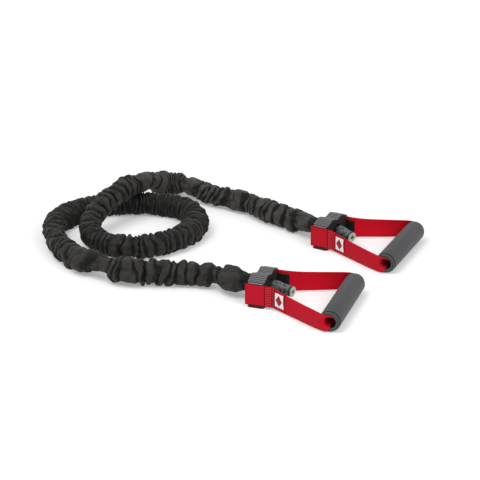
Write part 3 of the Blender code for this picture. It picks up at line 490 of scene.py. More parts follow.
def plug_plastic():
    """Pale plastic: greyer round its side, pale on its face, painted dark olive shade in its hole."""
    plastic = Finish("plug plastic")
    cloud, mark = plastic.cloud(240, 3), plastic.mark()
    side = plastic.colours(cloud, srgb(84, 100, 100), srgb(112, 128, 126))
    face = plastic.colours(cloud, srgb(180, 196, 182), srgb(204, 214, 198))
    outer = plastic.colours(plastic.between(mark, 0.2, 0.9), side, face)
    # Painted shade: the hole is dark olive
    colour = plastic.colours(plastic.between(mark, 1.1, 1.6), outer, srgb(92, 100, 58))
    return plastic.set(Base_Color=colour, Roughness=0.3 + cloud * 0.2).grained(0.04 * MM)


def tube_rubber(name, dark, light):
    """Black rubber with paler patches of soft noise."""
    rubber = Finish(name)
    mottle = rubber.cloud(260, 5, 0.65)
    rubber.set(Base_Color=rubber.colours(rubber.between(mottle, 0.42, 0.62), dark, light))
    return rubber.set(Roughness=0.38 + mottle * 0.25).grained(0.1 * MM, 800, 3)


def thread(colour):
    """Glossy sewing thread, a little mottled."""
    made = Finish("red thread", Sheen_Weight=0.3)
    cloud = made.cloud(1200)
    made.set(Base_Color=made.colours(cloud, colour, tuple(c * 1.3 for c in colour)))
    return made.set(Roughness=0.5 + cloud * 0.2).material


def screw_steel():
    """Plain steel with a faint mottle."""
    steel = Finish("screw steel", Metallic=1.0)
    grey = steel.cloud(500, 3)
    steel.set(Base_Color=steel.colours(grey, (0.42, 0.42, 0.44), (0.6, 0.6, 0.62)))
    return steel.set(Roughness=0.3 + grey * 0.15).material


def new_piece(name, mesh, material):
    """A finished object in the scene, at the origin."""
    piece = bpy.data.objects.new(name, mesh)
    bpy.context.scene.collection.objects.link(piece)
    if material is not None:
        mesh.materials.clear()
        mesh.materials.append(material)
    return piece


def smooth(mesh):
    mesh.polygons.foreach_set("use_smooth", [True] * len(mesh.polygons))


def settled(obj, name, material):
    """The object's evaluated shape as a plain mesh object, in place of the object."""
    bpy.context.view_layer.update()
    graph = bpy.context.evaluated_depsgraph_get()
    mesh = bpy.data.meshes.new_from_object(obj.evaluated_get(graph))
    bpy.data.objects.remove(obj, do_unlink=True)
    return new_piece(name, mesh, material)


def end_matrix(place, turn, height=0.0):
    """Where a hub or a grip stands, from its place beside the front hub."""
    at = (place[0] - MIDDLE[0], place[1] - MIDDLE[1], height)
    return Matrix.Translation(at) @ Matrix.Rotation(turn, 4, "Z")


def tail_points(hub, layout):
    """Where the tube's tail leaves the hub, and where it is cut."""
    start = hub @ Vector((TAIL_START_X, 0, TUBE_HEIGHT))
    x, y, drop = layout["tail_end"]
    return start, hub @ Vector((x, y, TUBE_HEIGHT + drop))


def guided_line(points):
    """A dense curve guided by the points, which starts and ends on the first and the last."""
    guides = [points[0] * 2 - points[1], *points, points[-1] * 2 - points[-2]]
    line = []
    for a, b, c, d in zip(guides, guides[1:], guides[2:], guides[3:]):
        for step in range(CURVE_STEPS):
            t = step / CURVE_STEPS
            share_b = 3 * t**3 - 6 * t**2 + 4
            share_c = -3 * t**3 + 3 * t**2 + 3 * t + 1
            line.append((a * (1 - t) ** 3 + b * share_b + c * share_c + d * t**3) / 6)
    return [*line, points[-1].copy()]


def sleeve_line(hubs):
    """The sleeve's middle line, from the neck at one hub to the neck at the other."""
    necks = [
        [hub @ Vector((SLEEVE_X - k * NECK_STEP, 0, TUBE_HEIGHT)) for k in range(3)]
        for hub in hubs.values()
    ]
    route = [Vector(point) * MM - Vector((*MIDDLE, 0)) for point in ROUTE]
    return guided_line(necks[0] + route + necks[1][::-1])


def distances(points):
    """How far along a line each of its points lies."""
    return np.r_[0, np.cumsum(np.linalg.norm(np.diff(points, axis=0), axis=1))]


def spaced(points, spacing):
    """The same line as an array of points an even distance apart, and the distances."""
    points = np.array([tuple(p) for p in points])
    reach = distances(points)
    at = np.linspace(0, reach[-1], round(reach[-1] / spacing) + 1)
    return np.stack([np.interp(at, reach, points[:, k]) for k in range(3)], axis=1), at


def make_tube(hubs, line, rubber):
    """The rubber tube, as one free cord from tail to tail."""
    ends = []
    for prefix, hub in hubs.items():
        start, end = tail_points(hub, LAYOUTS[prefix])
        inside = [hub @ Vector((x * HUB_LENGTH, 0, TUBE_HEIGHT)) for x in (0.28, 0.0, -0.5)]
        ends.append([end, start.lerp(end, 0.5), start, *inside])
    middle, _ = spaced(line, CORD_SPACING)
    points = ends[0] + [Vector(p) for p in middle] + ends[1][::-1]
    curve = bpy.data.curves.new("rubber_tube_line", "CURVE")
    curve.dimensions = "3D"
    curve.bevel_depth = TUBE_RADIUS
    curve.bevel_resolution = 8
    curve.use_fill_caps = True
    spline = curve.splines.new("POLY")
    spline.points.add(len(points) - 1)
    for place, point in zip(spline.points, points):
        place.co = (*point, 1.0)
    curve.materials.append(rubber)
    tube = bpy.data.objects.new("rubber_tube_line", curve)
    bpy.context.scene.collection.objects.link(tube)
    length = sum((b - a).length for a, b in zip(points, points[1:]))
    return tube, points[0], length


def modifier_tree(name, sizes):
    """A Geometry Nodes tree with one named input for each size, and a material."""
    tree = bpy.data.node_groups.new(name, "GeometryNodeTree")
    tree.is_modifier = True
    tree.interface.new_socket("Geometry", in_out="OUTPUT", socket_type="NodeSocketGeometry")
    tree.interface.new_socket("Geometry", in_out="INPUT", socket_type="NodeSocketGeometry")
    for label, value in sizes.items():
        kind = "NodeSocketInt" if isinstance(value, int) else "NodeSocketFloat"
        tree.interface.new_socket(label, in_out="INPUT", socket_type=kind).default_value = value
    tree.interface.new_socket("Material", in_out="INPUT", socket_type="NodeSocketMaterial")
    nodes = Nodes(tree)
    return nodes, nodes.add("NodeGroupInput")


def finish_tree(nodes, given, shape):
    """Ends a tree with its material on real geometry."""
    shape = nodes.add("GeometryNodeRealizeInstances", {"Geometry": shape})
    shape = nodes.add("GeometryNodeSetShadeSmooth", {"Geometry": shape})
    shape = nodes.add("GeometryNodeSetMaterial", {"Geometry": shape, "Material": given.out("Material")})
    nodes.add("NodeGroupOutput", {"Geometry": shape})
    return nodes.tree


def grown(name, mesh, tree, material):
    """Runs a tree on a mesh and keeps the result as a plain piece."""
    seed = new_piece(name + "_seed", mesh, None)
    modifier = seed.modifiers.new("grow", "NODES")
    modifier.node_group = tree
    for item in tree.interface.items_tree:
        if item.name == "Material":
            modifier[item.identifier] = material
    return settled(seed, name, material)


def gathering_tree():
    """Cloth gathered over a line: puffs between creases, which slant and vary round the tube.

    The line keeps for each of its points how the cloth gathers there. The skin keeps what the
    sleeve's finish reads: its painted shade, its reach along the line, and its turn as side and up.
    """
    sizes = {
        "Spacing": 1.0 * MM,
        "Sides": 58,
        "Radius": SLEEVE_RADIUS,
        "Lean length": 21 * MM,
        "Fade length": 13 * MM,
        "Wrinkle depth": 2.8 * MM,
        "Wrinkle length": 6.5 * MM,
        "Fold depth": 2.0 * MM,
        "Fold length": 24 * MM,
        "Slump depth": 1.8 * MM,
        "Slump length": 45 * MM,
        "Shaded depth": 3.4 * MM,
        "Inner radius": 8.2 * MM,
        "Floor": 0.4 * MM,
    }
    nodes, given = modifier_tree("gathered sleeve", sizes)
    size = given.out

    def attribute(label):
        return nodes.add("GeometryNodeInputNamedAttribute", {"Name": label}, data_type="FLOAT")

    def store(shape, label, value):
        inputs = {"Geometry": shape, "Name": label, "Value": value}
        return nodes.add("GeometryNodeStoreNamedAttribute", inputs, data_type="FLOAT")

    def varied(along, round_it, detail=1.0, roughness=0.5):
        """Soft noise that changes along the sleeve and, by so much, round it."""
        place = nodes.vector(along, side * round_it, up * round_it)
        return nodes.noise(place, 1.0, detail, roughness)

    line = nodes.add("GeometryNodeMeshToCurve", {"Mesh": size("Geometry")})
    inputs = {"Curve": line, "Length": size("Spacing")}
    line = nodes.add("GeometryNodeResampleCurve", inputs, mode="LENGTH")
    line = store(line, "reach", nodes.add("GeometryNodeSplineParameter").out("Length"))
    inputs = {"Resolution": size("Sides"), "Radius": size("Radius")}
    ring = nodes.add("GeometryNodeCurvePrimitiveCircle", inputs)
    ring = store(ring, "turn", nodes.add("GeometryNodeSplineParameter").out("Factor"))
    inputs = {"Curve": line, "Profile Curve": ring, "Fill Caps": False}
    skin = nodes.add("GeometryNodeCurveToMesh", inputs)

    turn = attribute("turn") * (2 * math.pi)
    reach = attribute("reach")
    side, up = turn.math("COSINE"), turn.math("SINE")
    outward = nodes.add("GeometryNodeInputNormal")
    height = nodes.split(outward)[2]
    # How many creases lie before a point, and how full the cloth is between the two beside it
    lean = varied(reach / size("Lean length"), 0.7, 1.5) - 0.5
    count = attribute("gather") + attribute("waver") * lean - attribute("slant") * height
    cell = count.math("FLOOR")
    skew = nodes.chance(cell) * 0.65 + 0.72
    edge = abs(count.math("FRACT") ** skew * 2 - 1)
    puff = (1 - edge ** attribute("blunt")).math("MAXIMUM", 0) ** 0.6
    fullest = nodes.between(varied(cell * 3.7, 1.1), 0.3, 0.7, 0.6, 1.25)
    fade = nodes.between(varied(reach / size("Fade length"), 1.1), 0.3, 0.55, 0.65, 1.15)
    hollow = attribute("crease") * fade * (1 - puff * fullest)
    # Fine wrinkles, a few sharp folds and a slow slump
    wrinkle = 0.5 - varied(reach / size("Wrinkle length"), 1.5, 3.0, 0.55)
    wrinkle = wrinkle * size("Wrinkle depth") * attribute("fine")
    fold = 1 - abs(varied(reach / size("Fold length") + side * 0.6, 1.0) * 2 - 1) * 5
    fold = fold.math("MAXIMUM", 0) * size("Fold depth") * attribute("loose")
    slump = (varied(reach / size("Slump length"), 0.8) - 0.5) * size("Slump depth")
    hollow = hollow + (wrinkle + fold + slump) * attribute("free")
    hollow = hollow.math("MINIMUM", attribute("fullness") - size("Inner radius"))
    # Painted shade: dark towards each crease's middle, more where gathers are fine, and in hollows
    crease = (1 - puff ** 1.3) * (1 + attribute("fine") * 0.8)
    skin = store(skin, "shade", crease + (wrinkle + fold * 0.4) / size("Shaded depth"))
    skin = store(store(skin, "side", side), "up", up)
    skin = store(skin, "hollow", hollow)
    # The skin is shrunk, lifted and kept above the floor
    grow = attribute("fullness") - size("Radius") - attribute("hollow")
    shift = nodes.add("ShaderNodeVectorMath", {0: outward, "Scale": grow}, operation="SCALE")
    inputs = {0: shift, 1: nodes.vector(0, 0, attribute("lift"))}
    shift = nodes.add("ShaderNodeVectorMath", inputs, operation="ADD")
    skin = nodes.add("GeometryNodeSetPosition", {"Geometry": skin, "Offset": shift})
    x, y, z = nodes.split(nodes.add("GeometryNodeInputPosition"))
    rest = nodes.vector(x, y, z.math("MAXIMUM", size("Floor")))
    skin = nodes.add("GeometryNodeSetPosition", {"Geometry": skin, "Position": rest})
    return finish_tree(nodes, given, skin)


# The sleeve's creases in millimetres from the front cuff: where each lies on the sleeve's upper side
# and on its under side.
FRONT_CREASES = (
    (0, 0), (51, 43), (57, 64), (82, 88), (104, 94), (120, 119), (124, 137), (148, 146), (160, 161),
    (178, 170), (196, 195), (204, 204), (216, 213), (232, 257), (300, 283), (318, 303),
)
LOOP_CREASES = (
    (827, 825), (838, 837), (848, 850), (860, 861), (872, 868), (886, 881), (897, 895), (902, 906),
    (913, 915), (925, 925), (940, 941), (948, 949), (957, 956), (966, 965),
)
BACK_CREASES = (
    (1013, 1019), (1032, 1030), (1046, 1044), (1063, 1061), (1080, 1078), (1092, 1092), (1104, 1106),
    (1118, 1120), (1129, 1131), (1138, 1140), (1147, 1151), (1210, 1186), (1247, 1240), (1262, 1259),
    (1275, 1274), (1281, 1280), (1287, 1285), (1292, 1291), (1298, 1296), (1305, 1304), (1353, 1341),
    (1364, 1350), (1374, 1359), (1384, 1368), (1393, 1378), (1402, 1390), (1440, 1449), (1453, 1456),
    (1461, 1463), (1470, 1472), (1490, 1486), (1498, 1496), (1516, 1513), (1533, 1531), (1558, 1556),
)
# Even gathers between those lists: where they end and how far apart they are.
LEFT_GATHERS = ((450, 11.6), (600, 6.9), (700, 5.0), (820, 9.6))
LOW_GATHERS = ((1008, 6.5),)

# Creases that reach deeper than their neighbours: where, how much deeper, and how far to each side
DEEP_CREASES = (
    (48, 2.5), (161, 3.5), (195, 1.5), (628, 2), (655, 2), (904, 3.5), (925, 3.5), (1305, 2),
)
DEEP_CREASE_REACH = 7

# How far the cloth stands off the line, and how far its middle lies above the line, in millimetres
FULLNESS = (
    (0, 12.4), (8, 15.6), (18, 19.2), (40, 19.8), (49, 13.6), (58, 13.4), (68, 18.6), (100, 18.9),
    (134, 19.0), (150, 20.4), (205, 20.2), (215, 15.4), (223, 11.6), (230, 12.6), (239, 16.8), (250, 19.6),
    (262, 20.8), (290, 20.4), (330, 18.4), (360, 17.0), (400, 16.6), (440, 17.8), (456, 19.4),
    (474, 22.6), (515, 22.8), (545, 19.0), (600, 18.2), (655, 19.4), (740, 19.6), (765, 20.2), (800, 20.0),
    (820, 18.8), (960, 18.4), (1010, 17.8), (1140, 18.2), (1155, 15.6), (1190, 15.6), (1205, 17.2),
    (1235, 14.6), (1246, 13.6), (1254, 19.6), (1266, 21.4), (1280, 20.6), (1295, 18.4), (1305, 13.6),
    (1315, 15.8), (1345, 16.8), (1400, 17.4), (1412, 18.6), (1434, 18.2), (1450, 15.8), (1470, 18.4),
    (1500, 19.8), (1550, 20.0), (1562, 17.2), (1580, 14.4), (1597, 12.3),
)
LIFT = (
    (0, 0), (45, 0), (55, 3), (66, 0), (134, 0), (150, 2.2), (206, 2.4), (220, 5), (230, 7.2),
    (250, 6.6), (266, 2.4), (290, 0), (445, 0), (475, -6), (525, -6), (560, -2), (600, 0), (1140, 0),
    (1160, -2.5), (1190, -2.5), (1205, 0), (1235, 1), (1250, 2), (1258, -1), (1270, -2), (1300, 0),
    (1312, 0.6), (1345, 0.4), (1360, 0),
)

# How pale the open cloth is, from 0 to 1, along the sleeve in millimetres
TONE = ((200, 0.3), (260, 0.23), (980, 0.19), (1180, 0.52), (1300, 0.8))


def even_creases(last, stretches):
    """Creases at uneven steps round an even pitch, after the last one."""
    middle = sum(last) / 2
    places = []
    for stop, pitch in stretches:
        while middle < stop - pitch:
            count = len(places)
            middle += pitch * (1 + 0.24 * math.sin(count * 2.4) + 0.16 * math.sin(count * 5.3))
            tilt = pitch * 0.3 * math.sin(count * 1.9)
            places.append((middle + tilt, middle - tilt))
    return places


def sleeve_creases(length):
    """Every crease's middle, in metres, and half its slant in gathers."""
    places = [*FRONT_CREASES, *even_creases(FRONT_CREASES[-1], LEFT_GATHERS), *LOOP_CREASES]
    places += [*even_creases(LOOP_CREASES[-1], LOW_GATHERS), *BACK_CREASES, (length / MM, length / MM)]
    places = np.array(places)
    middle = places.mean(axis=1)
    slant = (places[:, 0] - places[:, 1]) / 2 / np.gradient(middle)
    return middle * MM, slant


def make_sleeve(line, cloth):
    """The gathered sleeve over the tube.

    Where creases lie far apart they are deeper, straighter and blunter, and the cloth there has
    fewer fine wrinkles.
    """
    points, reach = spaced(line, LINE_SPACING)
    length = reach[-1]
    creases, slant = sleeve_creases(length)
    mesh = bpy.data.meshes.new("sleeve_line")
    edges = [(k, k + 1) for k in range(len(points) - 1)]
    mesh.from_pydata([tuple(p) for p in points], edges, [])
    wide = np.interp(reach, (creases[1:] + creases[:-1]) / 2, np.diff(creases)) / MM
    neck = np.clip(np.minimum(reach, length - reach) / SLEEVE_NECK_LENGTH, 0, 1) ** 0.5
    full = np.interp(reach / MM, *np.array(FULLNESS).T) * MM
    spare = np.interp(full / MM, [11, 14, 18], [0.7, 3.0, 7.5])
    depth = np.minimum(np.interp(wide, [4, 8, 13, 30], [3.0, 4.4, 5.6, 6.2]), spare)
    for place, extra in DEEP_CREASES:
        depth += extra * np.exp(-(((reach / MM - place) / DEEP_CREASE_REACH) ** 2))
    values = {
        "gather": np.interp(reach, creases, np.arange(len(creases))),
        "slant": np.interp(reach, creases, slant),
        "crease": depth * MM * neck,
        "blunt": np.interp(wide, [5, 12, 30], [1.8, 2.3, 3.4]),
        "waver": np.interp(wide, [5, 10, 25], [3.2, 2.1, 0.5]) * neck,
        "loose": np.interp(wide, [10, 22], [0.25, 1.0]),
        "fullness": full,
        "lift": np.interp(reach / MM, *np.array(LIFT).T) * MM,
        "free": neck,
        "fine": np.interp(wide, [8, 20], [1.0, 0.4]),
        "tone": np.interp(reach / MM, *np.array(TONE).T),
    }
    for name, numbers in values.items():
        note(mesh, name, numbers)
    return grown("gathered_sleeve", mesh, gathering_tree(), cloth)


def note(mesh, name, numbers, domain="POINT"):
    """Keeps a number for each point or face of a mesh, under a name."""
    kept = mesh.attributes.new(name, "FLOAT", domain)
    kept.data.foreach_set("value", np.array(numbers, np.float32))


def shaped(bm, name, material, turn_out=True):
    """Ends a shape under construction as a smooth piece, with its faces turned outwards."""
    if turn_out:
        bmesh.ops.recalc_face_normals(bm, faces=bm.faces)
    mesh = bpy.data.meshes.new(name)
    bm.to_mesh(mesh)
    bm.free()
    smooth(mesh)
    return new_piece(name, mesh, material)


def bevel(piece, width, segments, degrees):
    """Rounds the edges of a piece that turn by more than so many degrees."""
    rounding = piece.modifiers.new("round", "BEVEL")
    rounding.width = width
    rounding.segments = segments
    rounding.limit_method = "ANGLE"
    rounding.angle_limit = math.radians(degrees)


def turned_piece(name, profile, place, material, marks=None):
    """A ring turned about its own Z axis from a closed profile of (radius, height) points.

    Marks are one number for each point of the profile, kept as the attribute "mark".
    """
    bm = bmesh.new()
    rings = []
    for step in range(RING_STEPS):
        turn = 2 * math.pi * step / RING_STEPS
        points = [Vector((r * math.cos(turn), r * math.sin(turn), z)) for r, z in profile]
        rings.append([bm.verts.new(place @ point) for point in points])
    count = len(profile)
    for first, second in zip(rings, rings[1:] + rings[:1]):
        for k in range(count):
            after = (k + 1) % count
            bm.faces.new((first[k], first[after], second[after], second[k]))
    piece = shaped(bm, name, material)
    if marks:
        note(piece.data, "mark", marks * RING_STEPS)
    return piece


class Strap:
    """The middle surface of a handle strap in the hub's frame, as rows of points across its width."""

    def __init__(self, hub, grip, layout):
        inverse = hub.inverted()
        self.bend = layout["strap_bend"]
        self.flares = dict(zip((-1, 1), layout["strap_flares"]))
        self.rolls = dict(zip((-1, 1), STRAP_ROLLS))
        self.middle = inverse @ grip.translation
        axis = (inverse.to_3x3() @ grip.to_3x3() @ Vector((1, 0, 0))).normalized()
        self.grip_axis = axis
        self.inward = Vector((-axis.y, axis.x, 0))
        if self.inward.x > 0:
            self.inward = -self.inward
        self.columns = [2 * k / STRAP_COLUMNS - 1 for k in range(STRAP_COLUMNS + 1)]

    def flat_row(self, x, y):
        """A row that stands upright at a place beside the hub."""
        return [Vector((x, y, STRAP_MIDDLE + t * STRAP_WIDTH / 2)) for t in self.columns]

    def round_row(self, side, axial, radius, roll):
        """A row that lies curved round the grip's axis, rolled by an angle."""
        row = []
        for t in self.columns:
            angle = t * STRAP_WIDTH / 2 / radius - roll
            out = self.inward * math.cos(angle) + Vector((0, 0, math.sin(angle)))
            row.append(self.middle + self.grip_axis * side * axial + out * radius)
        return row

    def rim_row(self, side, turn):
        """A row on the cap's round rim: turn 0 is in the bore, and more is further outside."""
        radius = RIM_MIDDLE - STRAP_WRAP * math.cos(turn)
        share = turn / self.leave_angle(side)
        roll = self.rolls[side] * share + STRAP_BORE_ROLL * (1 - share)
        return self.round_row(side, RIM_AXIAL + STRAP_WRAP * math.sin(turn), radius, roll)

    def kink(self, side, steps=2):
        """The bend by which the strap leaves the hub, as places and turns."""
        for step in range(steps + 1):
            turn = self.flares[side] * step / steps
            x = self.bend + STRAP_FLARE_RADIUS * math.sin(turn)
            y = side * (STRAP_Y + STRAP_FLARE_RADIUS * (1 - math.cos(turn)))
            yield x, y, turn

    def leave_angle(self, side):
        """How far round the rim the strap lies before it runs free to the hub."""
        x, y, turn = list(self.kink(side))[-1]
        rim = self.middle + self.grip_axis * side * RIM_AXIAL + self.inward * RIM_MIDDLE
        to_hub = Vector((x, y, 0)) - Vector((rim.x, rim.y, 0))
        bearing = math.atan2(to_hub.dot(self.inward), to_hub.dot(self.grip_axis * side))
        return bearing + math.asin(STRAP_WRAP / to_hub.length) - STRAP_SLACK_ANGLE

    def span(self, side):
        """The free run from the hub to the rim: a smooth curve for each column."""
        x, y, turn = list(self.kink(side))[-1]
        start = self.flat_row(x, y)
        leave = self.leave_angle(side)
        end = self.rim_row(side, leave)
        away = Vector((math.cos(turn), side * math.sin(turn), 0)) * STRAP_PULL_HUB
        rows = []
        for step in range(1, STRAP_SPAN_STEPS + 1):
            s = step / (STRAP_SPAN_STEPS + 1)
            row = []
            for t, a, b in zip(self.columns, start, end):
                tilt = t * STRAP_WIDTH / 2 / RIM_MIDDLE * STRAP_EDGE_FLARE - self.rolls[side]
                fall = Vector((0, 0, -STRAP_FALL * (1 + t) / 2))
                out = self.inward * math.cos(tilt) + Vector((0, 0, math.sin(tilt)))
                into = -(self.grip_axis * side * math.cos(leave) + out * math.sin(leave))
                into *= STRAP_PULL_GRIP
                row.append(
                    a * (2 * s**3 - 3 * s**2 + 1)
                    + (away + fall) * (s**3 - 2 * s**2 + s)
                    + b * (3 * s**2 - 2 * s**3)
                    + into * (s**3 - s**2)
                )
            rows.append(row)
        return rows

    def beside_hub(self, side, steps=8):
        shares = [k / steps for k in range(steps)]
        return [
            self.flat_row(STRAP_HEM_X + (self.bend - STRAP_HEM_X) * s, side * STRAP_Y) for s in shares
        ]

    def outside(self, side):
        """Rows from the hem to the grip's rim, as far as the label and the stitches need."""
        bend = [self.flat_row(x, y) for x, y, _ in self.kink(side, KINK_STEPS)]
        return self.beside_hub(side) + bend + self.span(side)

    def half(self, side):
        """Rows from the hem to the mouth of the bore."""
        leave = self.leave_angle(side)
        shares = [1 - step / STRAP_RIM_STEPS for step in range(STRAP_RIM_STEPS + 1)]
        rim = [self.rim_row(side, leave * share) for share in shares]
        return self.outside(side) + rim

    def rows(self):
        return self.half(-1) + self.half(1)[::-1]


def webbing(name, rows, thickness, place, material):
    """A closed tape round rows of points, with rounded edges and a map in millimetres.

    The map counts up from the near hem to the tape's middle and down to the far hem as minus values.
    """
    rows = np.array([[tuple(p) for p in row] for row in rows])
    out = np.cross(np.gradient(rows, axis=0), np.gradient(rows, axis=1))
    out /= np.linalg.norm(out, axis=2, keepdims=True)
    t = np.linspace(-1, 1, rows.shape[1])
    full = thickness / 2 * np.clip(1 - np.abs(t) ** 14, 0, 1) ** 0.5
    away = out * full[:, None]
    ring = np.concatenate([rows + away, (rows - away)[:, -2:0:-1]], axis=1)
    reach = distances(rows[:, rows.shape[1] // 2]) / MM
    reach = np.where(reach < reach[-1] / 2, reach, reach - reach[-1])
    span = (t + 1) / 2 * (distances(rows[0])[-1] / MM)
    tape = np.concatenate([span, span[-2:0:-1]])
    bm = bmesh.new()
    layer = bm.loops.layers.uv.new("weave")
    grid = [[bm.verts.new(place @ Vector(p)) for p in line] for line in ring]
    count = ring.shape[1]

    def patch(*marks):
        face = bm.faces.new([grid[k][j] for k, j in marks])
        for loop, (k, j) in zip(face.loops, marks):
            loop[layer].uv = (reach[k], tape[j])

    for k in range(len(grid) - 1):
        for j in range(count):
            after = (j + 1) % count
            patch((k, j), (k, after), (k + 1, after), (k + 1, j))
    for k in (0, -1):
        for j in range(count // 2):
            patch(*dict.fromkeys((k, i % count) for i in (j, j + 1, -j - 1, -j)))
    return shaped(bm, name, material)


def sling_rows(strap):
    """The sling's rows round the hub's left face, from its near tail to its far one."""
    halves = []
    inset = STRAP_THICKNESS / 2 + GAP + SLING_THICKNESS / 2
    run, bend = SLING_X + SLING_CORNER - strap.bend, STRAP_FLARE_RADIUS / 3
    for side in (-1, 1):
        flare = math.tan(strap.flares[side])
        places = [
            (strap.bend + SLING_TAIL, SLING_Y + (SLING_TAIL - bend) * flare),
            (strap.bend + bend, SLING_Y + 0.1 * inset),
            (strap.bend, SLING_Y),
        ]
        for step in range(1, SLING_RUN_STEPS):
            places.append((strap.bend + run * step / SLING_RUN_STEPS, SLING_Y))
        for step in range(SLING_CORNER_STEPS + 1):
            turn = math.pi / 2 * step / SLING_CORNER_STEPS
            x = SLING_X + SLING_CORNER - SLING_CORNER * math.sin(turn)
            places.append((x, SLING_Y - SLING_CORNER + SLING_CORNER * math.cos(turn)))
        places += [(SLING_X, (SLING_Y - SLING_CORNER) * (1 - step / 4.5)) for step in range(1, 5)]
        half = []
        for x, y in places:
            share = min(max((x - strap.bend + SLING_CUT_RUN) / (SLING_CUT_RUN / 2), 0.0), 1.0)
            width = SLING_WIDTH - SLING_TAIL_CUT * share
            row = []
            for k in range(SLING_COLUMNS + 1):
                height = STRAP_MIDDLE - SLING_WIDTH / 2 + width * k / SLING_COLUMNS
                row.append(Vector((x, side * y, height)))
            half.append(row)
        halves.append(half)
    return halves[0] + halves[1][::-1]


def thread_tree():
    """Sewing thread: a round strand along every edge line of a mesh."""
    nodes, given = modifier_tree("sewing thread", {"Thread radius": 0.4 * MM, "Sides": 6})
    line = nodes.add("GeometryNodeMeshToCurve", {"Mesh": given.out("Geometry")})
    inputs = {"Resolution": given.out("Sides"), "Radius": given.out("Thread radius")}
    ring = nodes.add("GeometryNodeCurvePrimitiveCircle", inputs)
    inputs = {"Curve": line, "Profile Curve": ring, "Fill Caps": True}
    return finish_tree(nodes, given, nodes.add("GeometryNodeCurveToMesh", inputs))


def surface_point(rows, reach, t):
    """A point of a tape's middle, a distance along from the first row and t from -1 to 1 across.

    Its face's direction comes with it.
    """
    centre = [row[len(row) // 2] for row in rows]
    k = 0
    while k < len(centre) - 2 and reach > (centre[k + 1] - centre[k]).length:
        reach -= (centre[k + 1] - centre[k]).length
        k += 1
    share = reach / (centre[k + 1] - centre[k]).length
    column = (t + 1) / 2 * (len(rows[0]) - 1)
    j = min(int(column), len(rows[0]) - 2)
    first, second = (row[j].lerp(row[j + 1], column - j) for row in rows[k : k + 2])
    out = (second - first).cross(rows[k][j + 1] - rows[k][j]).normalized()
    return first.lerp(second, share), out


def stitch_lines(rows, side):
    """The sewing beside a hub as short lines on the strap's outer face: rows of tacks and a zigzag."""
    lift = -side * (STRAP_THICKNESS / 2 + THREAD_LIFT)
    lines = []
    for row in range(TACK_ROWS):
        t = TACK_SPREAD * (2 * row / (TACK_ROWS - 1) - 1)
        for dash in range(TACKS_PER_ROW):
            low = SEWING_START + (TACK_START + dash * TACK_PITCH) * MM
            lines.append([(low + TACK_LENGTH / 2 * k, t) for k in range(3)])
    zigzag = []
    for k in range(ZIGZAG_POINTS):
        reach = ZIGZAG_START + (ZIGZAG_SWING if k % 2 else -ZIGZAG_SWING)
        zigzag.append((SEWING_START + reach * MM, ZIGZAG_SPREAD * (2 * k / (ZIGZAG_POINTS - 1) - 1)))
    lines.append(zigzag)
    sewn = []
    for marks in lines:
        placed = [surface_point(rows, reach, t) for reach, t in marks]
        sinks = [0] * len(marks)
        if len(marks) < len(zigzag):
            sinks[0] = sinks[-1] = TACK_SINK
        sewn.append([p + out * lift * (1 - sink / abs(lift)) for (p, out), sink in zip(placed, sinks)])
    return sewn


def line_mesh(name, lines, place):
    """Separate edge lines as one mesh."""
    points, edges = [], []
    for line in lines:
        edges += [(len(points) + k, len(points) + k + 1) for k in range(len(line) - 1)]
        points += [tuple(place @ p) for p in line]
    mesh = bpy.data.meshes.new(name)
    mesh.from_pydata(points, edges, [])
    return mesh


def make_label(name, strap, place, material):
    """The woven label as a thin pillow on the near side of the strap."""
    rows = [strap.flat_row(x, y) for x, y, _ in strap.kink(-1, KINK_STEPS)] + strap.span(-1)
    steps = LABEL_STEPS
    begin = LABEL_FROM_HEM - (strap.bend - STRAP_HEM_X)
    bm = bmesh.new()
    layer = bm.loops.layers.uv.new("label")
    away = STRAP_THICKNESS / 2 + GAP + LABEL_STAND_OFF
    sheets = []
    for lift in (away + LABEL_THICKNESS, away):
        grid = []
        for step in range(steps + 1):
            reach = begin + LABEL_WIDTH * step / steps
            line = []
            for k in range(steps + 1):
                t = LABEL_HEIGHT / STRAP_WIDTH * (2 * k / steps - 1)
                point, out = surface_point(rows, reach, t)
                point = Vector((point.x, point.y, STRAP_MIDDLE + t * STRAP_WIDTH / 2))
                edge = lift > away and (step in (0, steps) or k in (0, steps))
                sunk = LABEL_EDGE_DROP if edge else 0
                line.append(bm.verts.new(place @ (point + out * (lift - sunk))))
            grid.append(line)
        sheets.append(grid)
    for grid in sheets:
        for a in range(steps):
            for b in range(steps):
                corners = ((a, b), (a, b + 1), (a + 1, b + 1), (a + 1, b))
                face = bm.faces.new([grid[u][v] for u, v in corners])
                for loop, (u, v) in zip(face.loops, corners):
                    loop[layer].uv = (u / steps, v / steps)
    top, bottom = sheets
    rim = [(a, 0) for a in range(steps)] + [(steps, b) for b in range(steps)]
    rim += [(a, steps) for a in range(steps, 0, -1)] + [(0, b) for b in range(steps, 0, -1)]
    for (a, b), (c, d) in zip(rim, rim[1:] + rim[:1]):
        bm.faces.new((top[a][b], top[c][d], bottom[c][d], bottom[a][b]))
    return shaped(bm, name, material)


def rounded_shell(name, node, material, hub):
    """A moulded shell of the frame with its edges rounded, its ribbed top marked for the finish."""
    bm = bmesh.new()
    bm.from_mesh(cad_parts[node].data)
    bmesh.ops.remove_doubles(bm, verts=bm.verts, dist=0.01 * MM)
    bmesh.ops.dissolve_limit(bm, angle_limit=math.radians(1), verts=bm.verts, edges=bm.edges)
    piece = shaped(bm, name, material, turn_out=False)
    bevel(piece, SHELL_ROUNDING, 2, 28)
    piece.modifiers.new("normals", "WEIGHTED_NORMAL").keep_sharp = True
    piece = settled(piece, name, material)
    mark_top(piece.data, hub)
    return piece


